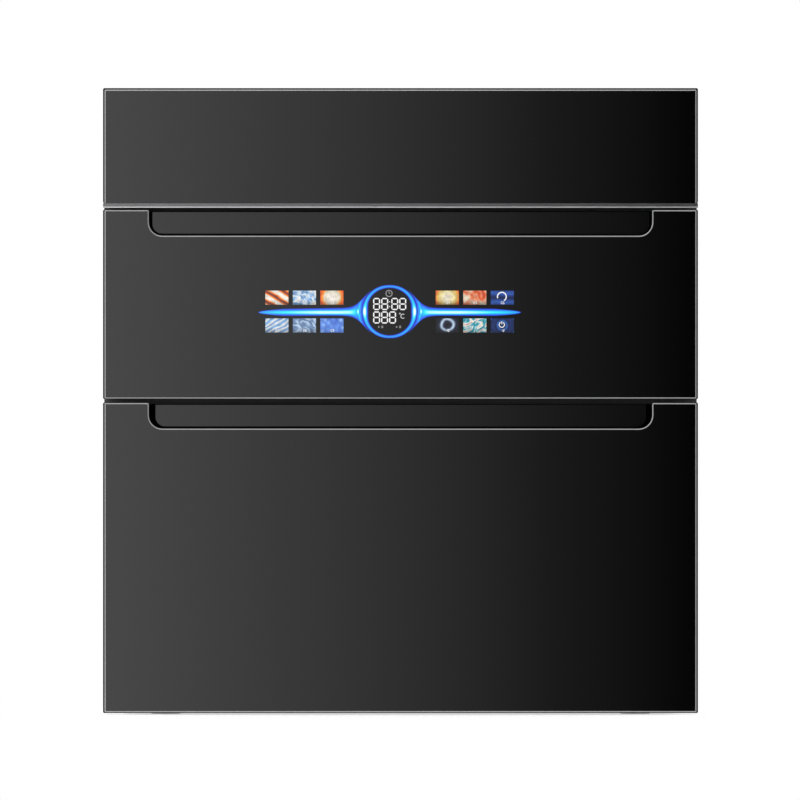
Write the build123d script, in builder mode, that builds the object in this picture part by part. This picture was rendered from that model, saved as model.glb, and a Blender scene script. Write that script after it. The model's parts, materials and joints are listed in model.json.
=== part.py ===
from build123d import *
from collections import namedtuple
import math
import os

os.makedirs("parts", exist_ok=True)

# A built-in cabinet that dries and disinfects dishes: a fixed glass panel on top
# and two drawers on ball slides below it, behind glass fronts with a recessed grip.
# X runs to the right, Y to the back and Z up, seen from the front, in millimetres.
# The origin is at the middle of the bottom of the box round the whole cabinet.

# ---------------------------------------------------------------- fronts
front_width = 595.0
overall_depth = 430.0
floor_gap = 1.0
lower_front_height = 310.6
drawer_gap = 3.4
upper_front_height = 189.5
top_gap = 1.7
trim_height = 4.8
top_front_height = 115.0
glass_thickness = 4.0
glass_bevel = 1.5
glass_corner = 1.5

# recessed grip in the top edge of each drawer front
notch_width = 502.7
notch_depth = 25.6
notch_radius = 13.0
notch_lip_radius = 2.0
cup_depth = 18.0
cup_wall = 2.0
cup_overlap = 6.0
cup_top_drop = 1.5
hook_depth = 12.0
pad_height = 4.0
upper_pad_side_gap = 3.2
lower_pad_side_gap = 6.5
pad_low_gap = 1.5
pad_radius = 10.0

# ---------------------------------------------------------------- doors
door_depth = 21.0
door_sheet = 1.0
pan_inset = 2.5
plug_depth = 6.0
plug_margin = 12.0
plug_side_margin = 32.0
gasket_margin = 2.0
gasket_width = 7.0
magnet_radius = 5.0
magnet_thickness = 3.0

# ---------------------------------------------------------------- carcass
seal_gap = 4.0
frame_sheet = 1.5
frame_inset = 1.0
frame_margin = 14.0
base_margin = 20.0
side_space = 25.5
shell_sheet = 1.0
side_overhang = 20.0
top_overhang = 12.0
foot_height = 10.0
tray_height = 16.0
shell_flange = 12.0
liner_sheet = 1.0
liner_flange = 11.0
upper_rear_space = 52.0
lower_rear_space = 37.0
bulge_depth = 12.0
top_panel_inset = 3.5
trim_hook = 0.8
trim_step = 0.8
trim_round = 0.5
fit_gap = 0.3

# ---------------------------------------------------------------- screws and feet
fixing_radius = 2.25
fixing_spacing = 500.0
screw_radius = 2.0
screw_clearance = 0.1
screw_head_radius = 3.5
screw_head_height = 2.2
screw_length = 6.0
screw_count = 4
screw_end_inset = 30.0
foot_radius = 16.0
foot_side_inset = 42.5
foot_front_inset = 32.5
foot_rear_inset = 36.0
foot_chamfer = 1.25

# ---------------------------------------------------------------- slides
rail_height = 35.0
rail_sheet = 1.2
rail_front_inset = 5.5
rail_rear_gap = 8.0
slide_width = 12.5
slide_drop = 25.0
lower_slide_rise = 40.0
cage_sheet = 0.6
cage_gap = 0.5
rail_gap = 0.7
ball_radius = 1.45
ball_gap = 0.2
ball_pitch = 20.0
bracket_sheet = 1.5
bracket_height = 28.0
bracket_ledge = 14.0
bracket_tab = 11.0

# ---------------------------------------------------------------- baskets
rim_radius = 2.0
end_rim_radius = 1.7
tie_radius = 1.5
wire_radius = 1.2
wire_pitch = 19.0
weld_gap = 0.2
basket_side_gap = 8.0
basket_front_gap = 11.0
basket_rear_gap = 42.0
upper_basket_height = 95.0
lower_basket_height = 85.0
plate_loop_height = 52.0
plate_loop_length = 150.0
bowl_leg = 32.0
bowl_wall_height = 40.0
tray_sheet = 0.8
drip_depth = 12.0
tray_edge_gap = 2.0

# ---------------------------------------------------------------- display
display_x = -10.4
display_height = 87.5
ring_radius = 27.5
ring_inner_x = 21.0
ring_inner_z = 23.7
wing_length = 132.0
wing_half = 4.0
wing_taper_start = 110.0
flare_outline = [(17.0, 22.0), (21.5, 19.5), (28.3, 12.5), (35.0, 6.5), (45.0, 4.5)]
touch_width = 24.0
touch_height = 14.9
touch_pitch = 27.5
touch_start = 45.7
touch_row_gap = 12.9
touch_columns = 3
board_gap = 4.5
board_sheet = 1.6
board_margin = 6.0
window_margin = 3.0
boss_radius = 2.2
digit_width = 34.5
digit_height = 12.0
digit_gap = 1.8
short_digit_width = 24.0

# ---------------------------------------------------------------- heating, lamp, blower
heater_radius = 6.0
heater_wall = 1.2
heater_length = 380.0
heater_rear_gap = 20.0
heater_rise = 55.0
heater_pitch = 80.0
heater_count = 2
holder_width = 12.0
holder_height = 26.0
holder_front = 10.0
reflector_sheet = 0.8
reflector_margin = 16.0
guard_gap = 15.0
guard_margin = 24.0
lamp_radius = 7.75
lamp_length = 240.0
lamp_x = -70.0
lamp_drop = 22.5
lamp_rear_gap = 13.0
lamp_end_chamfer = 1.0
socket_length = 15.0
socket_height = 22.0
socket_front = 9.0
blower_x = 140.0
blower_drop = 50.5
blower_radius = 46.0
blower_depth = 32.0
blower_wall = 2.0
inlet_radius = 26.0
duct_width = 40.0
duct_length = 108.0
slot_width = 30.0
slot_height = 5.0
slot_count = 4
slot_pitch = 9.0
impeller_radius = 38.0
impeller_gap = 3.0
impeller_blades = 18
blade_sheet = 1.2
blade_depth = 8.0
blade_inset = 0.4
hub_radius = 8.0
shaft_radius = 2.0
shaft_clearance = 0.05
motor_radius = 22.0
motor_length = 22.0
motor_gap = 3.0
arm_width = 7.0
fin_count = 7
bulge_margin = 14.0
louvre_count = 7
louvre_width = 60.0
louvre_height = 5.0
louvre_pitch = 10.8
ozone_x = -120.0
ozone_width = 60.0
ozone_height = 46.0
ozone_depth = 22.0
ozone_chamfer = 1.2
nozzle_radius = 4.0
probe_radius = 3.0
probe_length = 22.0
probe_flange = 6.0
probe_x = 212.0
probe_drop = 60.0
switch_width = 9.0
switch_height = 28.0
switch_depth = 12.0
standoff_height = 6.0
standoff_radius = 3.0
power_board_x = -130.0
power_board_y = 0.0
power_board_width = 150.0
power_board_depth = 110.0
part_margin = 20.0
transformer_width = 32.0
transformer_depth = 35.0
transformer_height = 28.0
relay_count = 3
relay_width = 16.0
relay_depth = 20.0
relay_height = 16.0
relay_gap = 4.0
capacitor_radius = 6.0
capacitor_height = 18.0
capacitor_gap = 16.0
terminal_depth = 12.0
terminal_height = 11.0
gland_x = -230.0
gland_z = 60.0
gland_bore = 4.0
gland_radius = 8.0
gland_head = 11.0
gland_head_height = 8.0
gland_nut_height = 4.0
gland_tail = 7.0

# ---------------------------------------------------------------- heights worked out
lower_front_low = floor_gap
lower_front_top = lower_front_low + lower_front_height
upper_front_low = lower_front_top + drawer_gap
upper_front_top = upper_front_low + upper_front_height
trim_low = upper_front_top + top_gap
trim_top = trim_low + trim_height
top_front_top = trim_top + top_front_height
body_low = foot_height
body_top = top_front_top - top_overhang
lower_opening_low = body_low + base_margin
lower_opening_top = lower_front_top - frame_margin
upper_opening_low = upper_front_low + frame_margin
upper_opening_top = upper_front_top - frame_margin

# ---------------------------------------------------------------- depths worked out
glass_y = -overall_depth / 2
glass_back_y = glass_y + glass_thickness
pan_back_y = glass_back_y + door_depth
door_back_y = pan_back_y + door_sheet
frame_y = door_back_y + seal_gap
frame_back_y = frame_y + frame_sheet
shell_y = frame_back_y + shell_sheet
cover_back_y = overall_depth / 2 - bulge_depth
cover_y = cover_back_y - shell_sheet
shell_back_y = cover_y - shell_sheet
upper_liner_back_y = cover_y - upper_rear_space
lower_liner_back_y = cover_y - lower_rear_space
cup_back_y = glass_back_y + cup_depth
cup_floor_y = cup_back_y - cup_wall
pad_y = cup_floor_y - pad_height
plug_back_y = door_back_y + plug_depth

# ---------------------------------------------------------------- widths worked out
front_half = front_width / 2
body_half = front_half - side_overhang
frame_half = front_half - frame_inset
opening_half = body_half - side_space
shell_half = body_half - shell_sheet
notch_half = notch_width / 2
cup_half = notch_half + cup_overlap
pan_half = front_half - pan_inset
fixing_x = (body_half + frame_half) / 2
screw_x = body_half - shell_sheet - shell_flange / 2
magnet_x = screw_x
screw_heights = [
    body_low + screw_end_inset + i * (body_top - body_low - 2 * screw_end_inset) / (screw_count - 1)
    for i in range(screw_count)
]


def between_screws(height):
    """The height midway between the panel screws below and above a given height."""
    below = max(z for z in screw_heights if z <= height)
    above = min(z for z in screw_heights if z > height)
    return (below + above) / 2


# ---------------------------------------------------------------- slides worked out
rail_front_y = frame_back_y + rail_front_inset
rail_back_y = upper_liner_back_y - rail_rear_gap
rail_length = rail_back_y - rail_front_y
cage_length = rail_length / 2
cage_front_y = rail_front_y + cage_length / 2
outer_half = rail_height / 2
outer_ball_z = outer_half - rail_sheet - ball_gap - ball_radius
middle_half = outer_ball_z - ball_radius - ball_gap
inner_ball_z = middle_half - rail_sheet - ball_gap - ball_radius
inner_half = inner_ball_z - ball_radius - ball_gap
outer_cage_s = rail_sheet + cage_gap
middle_s = outer_cage_s + cage_sheet + rail_gap
inner_cage_s = middle_s + rail_sheet + rail_gap
inner_edge_s = inner_cage_s + cage_sheet + rail_gap
middle_edge_s = slide_width - rail_sheet - rail_gap
outer_edge_s = middle_edge_s - rail_sheet
outer_ball_s = (middle_s + outer_edge_s) / 2
inner_ball_s = (inner_edge_s + middle_edge_s) / 2
bracket_x = opening_half - slide_width
ledge_x = bracket_x - bracket_sheet
upper_slide_z = upper_opening_low + slide_drop
lower_slide_z = lower_opening_low + lower_slide_rise

# ---------------------------------------------------------------- baskets worked out
basket_half = ledge_x - basket_side_gap
basket_front_y = plug_back_y + basket_front_gap
basket_back_y = upper_liner_back_y - basket_rear_gap
upper_seat_z = upper_slide_z - bracket_height / 2 + bracket_sheet + weld_gap
lower_ledge_z = lower_slide_z - bracket_height / 2 + bracket_sheet
lower_seat_z = lower_ledge_z + tray_sheet + weld_gap
bowl_foot_z = lower_seat_z + lower_basket_height + rim_radius + fit_gap

# ---------------------------------------------------------------- display worked out
display_z = upper_front_low + display_height
touch_reach = touch_start + (touch_columns - 1) * touch_pitch + touch_width
window_half = max(touch_reach, wing_length) + window_margin
window_rise = max(touch_row_gap / 2 + touch_height, ring_radius) + window_margin
board_half = window_half + board_margin
board_rise = window_rise + board_margin
board_y = glass_back_y + board_gap

# ---------------------------------------------------------------- rear works worked out
blower_z = upper_opening_top - blower_drop
blower_y = upper_liner_back_y + liner_sheet
blower_back_y = blower_y + blower_depth
duct_x = blower_x - blower_radius
motor_y = blower_back_y + motor_gap
motor_back_y = motor_y + motor_length
heater_y = lower_liner_back_y - heater_rear_gap
heater_rows = [lower_opening_low + heater_rise + i * heater_pitch for i in range(heater_count)]
lamp_y = upper_liner_back_y - lamp_rear_gap
lamp_z = upper_opening_top - lamp_drop
upper_probe_z = upper_opening_top - probe_drop
lower_probe_z = lower_opening_top - probe_drop
upper_switch_z = between_screws((upper_opening_low + upper_opening_top) / 2)
lower_switch_z = between_screws((lower_opening_low + lower_opening_top) / 2)
ozone_z = blower_z
slot_heights = [blower_z - duct_length + slot_pitch * (i + 1) for i in range(slot_count)]
slot_x = duct_x + duct_width / 2

Drawer = namedtuple("Drawer", "name low top opening_low opening_top slide_z pad_side_gap")
upper = Drawer(
    "upper", upper_front_low, upper_front_top, upper_opening_low, upper_opening_top,
    upper_slide_z, upper_pad_side_gap,
)
lower = Drawer(
    "lower", lower_front_low, lower_front_top, lower_opening_low, lower_opening_top,
    lower_slide_z, lower_pad_side_gap,
)


# ---------------------------------------------------------------- helpers
def front_plane(y):
    """A sketch plane at depth y, seen from the front: its extrusion runs forwards."""
    return Plane.XZ.offset(-y)


def block(x_span, y_span, z_span, mode=Mode.ADD):
    """A box from its two ends in each direction."""
    spans = [sorted(x_span), sorted(y_span), sorted(z_span)]
    middle = [(low + high) / 2 for low, high in spans]
    size = [high - low for low, high in spans]
    with Locations(tuple(middle)):
        Box(size[0], size[1], size[2], mode=mode)


def rod(centres, radius, length, along, mode=Mode.ADD):
    """Round bars of one length, one at each centre, along x, y or z."""
    turn = {"x": (0, 90, 0), "y": (90, 0, 0), "z": (0, 0, 0)}[along]
    with Locations(*centres):
        Cylinder(radius, length, rotation=turn, mode=mode)


def rod_y(x, z, radius, y_span, mode=Mode.ADD):
    """One round bar along Y between two depths."""
    middle_y = (y_span[0] + y_span[1]) / 2
    rod([(x, middle_y, z)], radius, abs(y_span[1] - y_span[0]), "y", mode)


def evenly(low, high, pitch):
    """Places from low to high, both ends included, about one pitch apart."""
    gaps = max(1, round((high - low) / pitch))
    return [low + (high - low) * i / gaps for i in range(gaps + 1)]


def save(builder, name):
    """Label a finished piece and write it to its own file."""
    builder.part.label = name
    export_step(builder.part, "parts/" + name + ".step")


# ---------------------------------------------------------------- glass fronts
def drawer_glass(drawer):
    """Glass front with the grip notch in its top edge and a polished bevel round its face."""
    with BuildPart() as glass:
        with BuildSketch(front_plane(glass_back_y)) as outline:
            with Locations((0, (drawer.low + drawer.top) / 2)):
                Rectangle(front_width, drawer.top - drawer.low)
            with Locations((0, drawer.top)):
                Rectangle(notch_width, 2 * notch_depth, mode=Mode.SUBTRACT)
            fillet(outline.vertices().group_by(Axis.Y)[1], notch_radius)
            fillet(outline.vertices().group_by(Axis.Y)[0], glass_corner)
            top_corners = outline.vertices().group_by(Axis.Y)[-1].sort_by(Axis.X)
            fillet(top_corners[1:3], notch_lip_radius)
            top_corners = outline.vertices().group_by(Axis.Y)[-1].sort_by(Axis.X)
            fillet([top_corners[0], top_corners[-1]], glass_corner)
        extrude(amount=glass_thickness)
        chamfer(glass.faces().sort_by(Axis.Y)[0].edges(), glass_bevel)
    save(glass, drawer.name + "_glass")


def top_glass():
    """Plain fixed glass above the drawers."""
    with BuildPart() as glass:
        with BuildSketch(front_plane(glass_back_y)) as outline:
            with Locations((0, (trim_top + top_front_top) / 2)):
                Rectangle(front_width, top_front_height)
            fillet(outline.vertices(), glass_corner)
        extrude(amount=glass_thickness)
        chamfer(glass.faces().sort_by(Axis.Y)[0].edges(), glass_bevel)
    save(glass, "top_glass")


def top_panel_frame():
    """Pressed pan that carries the top glass on the front frame."""
    low = trim_low + trim_hook
    top = top_front_top - top_panel_inset
    half = front_half - top_panel_inset - pan_inset
    with BuildPart() as pan:
        block((-half, half), (glass_back_y, frame_y), (low, top))
        block(
            (-half + door_sheet, half - door_sheet),
            (glass_back_y + door_sheet, frame_y),
            (low + door_sheet, top - door_sheet),
            Mode.SUBTRACT,
        )
    save(pan, "top_panel_frame")


def top_trim_strip():
    """Drawn metal strip under the top glass: a flat band, a rounded lip and a hook behind."""
    lip = trim_height / 2
    with BuildPart() as strip:
        block((-front_half, front_half), (glass_y + trim_step, glass_back_y), (trim_low, trim_top))
        block((-front_half, front_half), (glass_y, glass_back_y), (trim_low, trim_low + lip))
        block((-front_half + pan_inset, front_half - pan_inset),
              (glass_back_y, glass_back_y + cup_depth), (trim_low, trim_low + trim_hook))
        front_edges = strip.edges().filter_by(Axis.X).group_by(Axis.Y)[0]
        fillet(front_edges, trim_round)
    save(strip, "top_trim_strip")


# ---------------------------------------------------------------- doors
def door_pan(drawer, window):
    """Pressed steel pan behind a drawer's glass, cut out for the grip and for the display."""
    low = drawer.low + pan_inset
    top = drawer.top - pan_inset
    cup_low = drawer.top - notch_depth - hook_depth - cup_wall
    with BuildPart() as pan:
        block((-pan_half, pan_half), (glass_back_y, pan_back_y), (low, top))
        block(
            (-pan_half + door_sheet, pan_half - door_sheet),
            (glass_back_y + door_sheet, pan_back_y),
            (low + door_sheet, top - door_sheet),
            Mode.SUBTRACT,
        )
        block(
            (-cup_half - fit_gap, cup_half + fit_gap),
            (glass_back_y, cup_back_y + fit_gap),
            (cup_low - fit_gap, drawer.top),
            Mode.SUBTRACT,
        )
        if window:
            block(
                (display_x - window_half, display_x + window_half),
                (glass_back_y, glass_back_y + door_sheet),
                (display_z - window_rise, display_z + window_rise),
                Mode.SUBTRACT,
            )
    save(pan, drawer.name + "_door_pan")


def handle_cup(drawer):
    """Moulded cup behind the notch: fingers reach over its floor and behind the glass."""
    notch_low = drawer.top - notch_depth
    cup_low = notch_low - hook_depth - cup_wall
    cup_top = drawer.top - cup_top_drop
    with BuildPart() as cup:
        block((-cup_half, cup_half), (glass_back_y, cup_back_y), (cup_low, cup_top))
        block(
            (-cup_half + cup_wall, cup_half - cup_wall),
            (glass_back_y, cup_floor_y),
            (cup_low + cup_wall, cup_top),
            Mode.SUBTRACT,
        )
        with BuildSketch(front_plane(pad_y)) as pad:
            with Locations((0, (notch_low + pad_low_gap + cup_top) / 2)):
                Rectangle(notch_width - 2 * drawer.pad_side_gap, cup_top - notch_low - pad_low_gap)
            fillet(pad.vertices().group_by(Axis.Y)[0], pad_radius)
        extrude(amount=-pad_height)
    save(cup, drawer.name + "_handle_cup")


def door_liner(drawer):
    """Back sheet of a door, pressed out into a shallow plug that enters the opening."""
    low = drawer.low + pan_inset
    top = drawer.top - pan_inset
    plug_half = opening_half - plug_side_margin
    plug_low = drawer.opening_low + plug_margin
    plug_top = drawer.opening_top - plug_margin
    with BuildPart() as liner:
        block((-pan_half, pan_half), (pan_back_y, door_back_y), (low, top))
        block((-plug_half, plug_half), (door_back_y, plug_back_y), (plug_low, plug_top))
        block(
            (-plug_half + door_sheet, plug_half - door_sheet),
            (pan_back_y, plug_back_y - door_sheet),
            (plug_low + door_sheet, plug_top - door_sheet),
            Mode.SUBTRACT,
        )
    save(liner, drawer.name + "_door_liner")


def gasket(drawer):
    """Rubber seal round the opening, on the door's back sheet."""
    inner_half = opening_half + gasket_margin
    low = drawer.opening_low - gasket_margin
    top = drawer.opening_top + gasket_margin
    y_span = (door_back_y, frame_y - fit_gap)
    with BuildPart() as seal:
        block(
            (-inner_half - gasket_width, inner_half + gasket_width),
            y_span,
            (low - gasket_width, top + gasket_width),
        )
        block((-inner_half, inner_half), y_span, (low, top), Mode.SUBTRACT)
    save(seal, drawer.name + "_gasket")


def magnet(drawer, height):
    """Magnet inside the door that works the cabinet's door switch."""
    with BuildPart() as disc:
        rod_y(magnet_x, height, magnet_radius, (pan_back_y - magnet_thickness, pan_back_y))
    save(disc, drawer.name + "_magnet")


# ---------------------------------------------------------------- slides
def channel(side, slide_z, web_s, edge_s, half_height, sheet, y_span):
    """One C-shaped strip of a slide. Distances s count inwards from the opening's side."""
    inwards = 1 if edge_s > web_s else -1
    block(
        (side * (opening_half - web_s), side * (opening_half - edge_s)),
        y_span,
        (slide_z - half_height, slide_z + half_height),
    )
    block(
        (side * (opening_half - web_s - inwards * sheet), side * (opening_half - edge_s)),
        y_span,
        (slide_z - half_height + sheet, slide_z + half_height - sheet),
        Mode.SUBTRACT,
    )


def rail_pair(name, slide_z, web_s, edge_s, half_height):
    """The left and right rails of one stage of a drawer's slides."""
    with BuildPart() as rails:
        for side in (-1, 1):
            channel(side, slide_z, web_s, edge_s, half_height, rail_sheet, (rail_front_y, rail_back_y))
    save(rails, name)


def cage_pair(name, slide_z, web_s, edge_s, ball_s, ball_z):
    """The left and right ball cages between two stages, with their balls."""
    half_height = ball_z + cage_sheet / 2
    end = ball_pitch / 2
    ball_rows = evenly(cage_front_y + end, cage_front_y + cage_length - end, ball_pitch)
    with BuildPart() as cages:
        for side in (-1, 1):
            channel(
                side, slide_z, web_s, edge_s, half_height, cage_sheet,
                (cage_front_y, cage_front_y + cage_length),
            )
            places = [
                (side * (opening_half - ball_s), y, slide_z + up * ball_z)
                for y in ball_rows
                for up in (-1, 1)
            ]
            with Locations(*places):
                Sphere(ball_radius)
    save(cages, name)


def side_brackets(drawer):
    """Two bent brackets that join the door to the inner rails and carry the basket."""
    low = drawer.slide_z - bracket_height / 2
    with BuildPart() as brackets:
        for side in (-1, 1):
            block(
                (side * ledge_x, side * bracket_x),
                (door_back_y, rail_back_y),
                (low, low + bracket_height),
            )
            block(
                (side * (ledge_x - bracket_ledge), side * ledge_x),
                (basket_front_y - tray_edge_gap * 2, rail_back_y),
                (low, low + bracket_sheet),
            )
            block(
                (side * bracket_x, side * (bracket_x + bracket_tab)),
                (door_back_y, door_back_y + bracket_sheet),
                (low, low + bracket_height),
            )
    save(brackets, drawer.name + "_side_brackets")


def slide_set(drawer):
    """All stages of one drawer's slides."""
    name = drawer.name
    z = drawer.slide_z
    rail_pair(name + "_outer_rails", z, 0, outer_edge_s, outer_half)
    rail_pair(name + "_middle_rails", z, middle_s, middle_edge_s, middle_half)
    rail_pair(name + "_inner_rails", z, slide_width, inner_edge_s, inner_half)
    cage_pair(name + "_outer_cages", z, outer_cage_s, outer_edge_s - rail_sheet, outer_ball_s, outer_ball_z)
    cage_pair(name + "_inner_cages", z, inner_cage_s, middle_edge_s - rail_gap, inner_ball_s, inner_ball_z)


# ---------------------------------------------------------------- wire baskets
def floor_wires():
    """Where the long wires of a basket's floor lie, from left to right."""
    return evenly(-basket_half, basket_half, wire_pitch)[1:-1]


def grille_floor(seat_z):
    """Flat wire grille: a stout frame, long wires and three tie bars under them."""
    middle_y = (basket_front_y + basket_back_y) / 2
    length = basket_back_y - basket_front_y
    z = seat_z + rim_radius
    step = rim_radius - tie_radius
    rod([(side * basket_half, middle_y, z) for side in (-1, 1)], rim_radius, length + 3 * rim_radius, "y")
    rod([(0, y, z) for y in (basket_front_y, basket_back_y)], end_rim_radius, 2 * basket_half, "x")
    rod([(x, middle_y, z + step) for x in floor_wires()], wire_radius, length, "y")
    ties = evenly(basket_front_y, basket_back_y, length / 4)[1:-1]
    rod([(0, y, z - step) for y in ties], tie_radius, 2 * basket_half, "x")


def grille_walls(floor_top, rim_z):
    """Four upright wire grilles, each with a stout rim and a thin foot wire."""
    middle_y = (basket_front_y + basket_back_y) / 2
    length = basket_back_y - basket_front_y
    foot_z = floor_top + weld_gap + tie_radius
    upright = rim_z - foot_z
    middle_z = (rim_z + foot_z) / 2
    end_half = basket_half - 2 * rim_radius - weld_gap
    post_inset = 2 * rim_radius
    for x in (-basket_half, basket_half):
        rod([(x, middle_y, rim_z)], rim_radius, length + 3 * rim_radius, "y")
        rod([(x, middle_y, foot_z)], tie_radius, length, "y")
        places = evenly(basket_front_y + post_inset, basket_back_y - post_inset, wire_pitch)
        rod([(x, y, middle_z) for y in places], wire_radius, upright, "z")
    for y in (basket_front_y, basket_back_y):
        rod([(0, y, rim_z)], end_rim_radius, 2 * end_half, "x")
        rod([(0, y, foot_z)], tie_radius, 2 * end_half, "x")
        places = evenly(-end_half + post_inset, end_half - post_inset, wire_pitch)
        rod([(x, y, middle_z) for x in places], wire_radius, upright, "z")


def upper_basket():
    """Open wire basket for cups and bowls."""
    with BuildPart() as basket:
        grille_floor(upper_seat_z)
        grille_walls(upper_seat_z + 2 * rim_radius, upper_seat_z + upper_basket_height)
    save(basket, "upper_basket")


def plate_places():
    """Where the plate loops stand: on every second wire of the floor."""
    return floor_wires()[1::2]


def lower_basket():
    """Wire basket with a row of loops that hold plates upright."""
    loop_foot = lower_seat_z + 2 * rim_radius + weld_gap
    loop_top = loop_foot + plate_loop_height
    middle_y = (basket_front_y + basket_back_y) / 2
    with BuildPart() as basket:
        grille_floor(lower_seat_z)
        grille_walls(lower_seat_z + 2 * rim_radius, lower_seat_z + lower_basket_height)
        for x in plate_places():
            legs = [(x, middle_y + end * plate_loop_length / 2, (loop_foot + loop_top) / 2) for end in (-1, 1)]
            rod(legs, wire_radius, plate_loop_height, "z")
            rod([(x, middle_y, loop_top)], tie_radius, plate_loop_length + 3 * rim_radius, "y")
    save(basket, "lower_basket")


def bowl_rack():
    """Lift-out rack on four legs that stand on the rim of the plate basket."""
    floor_seat = bowl_foot_z + bowl_leg
    with BuildPart() as rack:
        grille_floor(floor_seat)
        grille_walls(floor_seat + 2 * rim_radius, floor_seat + bowl_wall_height)
        reach = (basket_back_y - basket_front_y) / 2 - 4 * rim_radius
        middle_y = (basket_front_y + basket_back_y) / 2
        leg_height = bowl_leg - weld_gap
        legs = [
            (side * basket_half, middle_y + end * reach, bowl_foot_z + leg_height / 2)
            for side in (-1, 1)
            for end in (-1, 1)
        ]
        rod(legs, rim_radius, leg_height, "z")
    save(rack, "bowl_rack")


def drip_tray():
    """Shallow steel tray: a floor welded between four edge angles that hang on the bracket ledges."""
    rim_half = ledge_x - tray_edge_gap
    wall_half = ledge_x - bracket_ledge - tray_edge_gap
    inner_half = wall_half - tray_sheet
    inner_front_y = basket_front_y + tray_sheet
    inner_back_y = basket_back_y - tray_sheet
    rim_z = (lower_ledge_z, lower_ledge_z + tray_sheet)
    wall_z = (lower_ledge_z - drip_depth, lower_ledge_z)
    floor_z = (wall_z[0], wall_z[0] + tray_sheet)
    between_y = (inner_front_y + weld_gap, inner_back_y - weld_gap)
    with BuildPart() as tray:
        block((-inner_half + weld_gap, inner_half - weld_gap), between_y, floor_z)
        block((-rim_half, rim_half), (basket_front_y - tray_edge_gap, inner_front_y), rim_z)
        block((-wall_half, wall_half), (basket_front_y, inner_front_y), wall_z)
        block((-rim_half, rim_half), (inner_back_y, basket_back_y + tray_edge_gap), rim_z)
        block((-wall_half, wall_half), (inner_back_y, basket_back_y), wall_z)
        for side in (-1, 1):
            block((side * inner_half, side * rim_half), between_y, rim_z)
            block((side * inner_half, side * wall_half), between_y, wall_z)
    save(tray, "lower_drip_tray")


# ---------------------------------------------------------------- display
def light_guide():
    """Clear guide behind the glass: a ring with one long tapered wing on each side."""
    edge = [(0, flare_outline[0][1])] + flare_outline + [(wing_taper_start, wing_half)]
    wing = [(x, -z) for x, z in edge] + [(wing_length, 0)] + edge[::-1]
    with BuildPart() as guide:
        with BuildSketch(front_plane(board_y)):
            with Locations((display_x, display_z)):
                Circle(ring_radius)
                for side in (-1, 1):
                    Polygon(*[(side * x, z) for x, z in wing], align=None)
                Ellipse(ring_inner_x, ring_inner_z, mode=Mode.SUBTRACT)
        extrude(amount=board_gap)
    save(guide, "light_guide")


def touch_places():
    """Centres of the touch fields, counted from the middle of the display."""
    centre_z = (touch_row_gap + touch_height) / 2
    return [
        (display_x + side * (touch_start + touch_width / 2 + i * touch_pitch), display_z + up * centre_z)
        for up in (1, -1)
        for side in (-1, 1)
        for i in range(touch_columns)
    ]


def touch_pads():
    """Clear touch pads between the board and the glass, one behind each picture."""
    with BuildPart() as pads:
        for x, z in touch_places():
            block(
                (x - touch_width / 2, x + touch_width / 2),
                (glass_back_y, board_y),
                (z - touch_height / 2, z + touch_height / 2),
            )
    save(pads, "touch_pads")


def display_board():
    """Circuit board on four bosses, with a four-digit and a three-digit module."""
    boss_x = board_half - board_margin / 2
    boss_z = board_rise - board_margin / 2
    left = display_x - digit_width / 2
    with BuildPart() as board:
        block(
            (display_x - board_half, display_x + board_half),
            (board_y, board_y + board_sheet),
            (display_z - board_rise, display_z + board_rise),
        )
        for side in (-1, 1):
            for up in (-1, 1):
                rod_y(
                    display_x + side * boss_x, display_z + up * boss_z, boss_radius,
                    (glass_back_y + door_sheet, board_y),
                )
        block((left, left + digit_width), (glass_back_y, board_y),
              (display_z + digit_gap / 2, display_z + digit_gap / 2 + digit_height))
        block((left, left + short_digit_width), (glass_back_y, board_y),
              (display_z - digit_gap / 2 - digit_height, display_z - digit_gap / 2))
    save(board, "display_board")


# ---------------------------------------------------------------- carcass
def front_frame():
    """Steel frame of two uprights and three welded cross strips, with fixing and screw holes."""
    hole = screw_radius + screw_clearance
    strip_half = opening_half - weld_gap
    strips = [
        (body_low, lower.opening_low),
        (lower.opening_top, upper.opening_low),
        (upper.opening_top, body_top),
    ]
    with BuildPart() as frame:
        for z_span in strips:
            block((-strip_half, strip_half), (frame_y, frame_back_y), z_span)
        middle_z = (body_low + body_top) / 2
        for side in (-1, 1):
            block((side * opening_half, side * frame_half), (frame_y, frame_back_y), (body_low, body_top))
            for up in (-1, 1):
                rod_y(side * fixing_x, middle_z + up * fixing_spacing / 2, fixing_radius,
                      (frame_y, frame_back_y), Mode.SUBTRACT)
            for z in screw_heights:
                rod_y(side * screw_x, z, hole, (frame_y, frame_back_y), Mode.SUBTRACT)
    save(frame, "front_frame")


def side_panel(name, side):
    """Outer side sheet with a bent flange at the front and at the back."""
    hole = screw_radius + screw_clearance
    with BuildPart() as panel:
        block((side * shell_half, side * body_half), (frame_back_y, cover_y), (body_low, body_top))
        for y_span in ((frame_back_y, shell_y), (shell_back_y, cover_y)):
            block((side * (shell_half - shell_flange), side * shell_half), y_span, (body_low, body_top))
            for z in screw_heights:
                rod_y(side * screw_x, z, hole, y_span, Mode.SUBTRACT)
    save(panel, name)


def shell_tray(name, z_span, open_up):
    """Flat tray between the side panels, open upwards or downwards."""
    low, top = z_span
    hollow = (low + shell_sheet, top) if open_up else (low, top - shell_sheet)
    with BuildPart() as tray:
        block((-shell_half, shell_half), (shell_y, shell_back_y), (low, top))
        block(
            (-shell_half + shell_sheet, shell_half - shell_sheet),
            (shell_y + shell_sheet, shell_back_y - shell_sheet),
            hollow,
            Mode.SUBTRACT,
        )
    save(tray, name)


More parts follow.
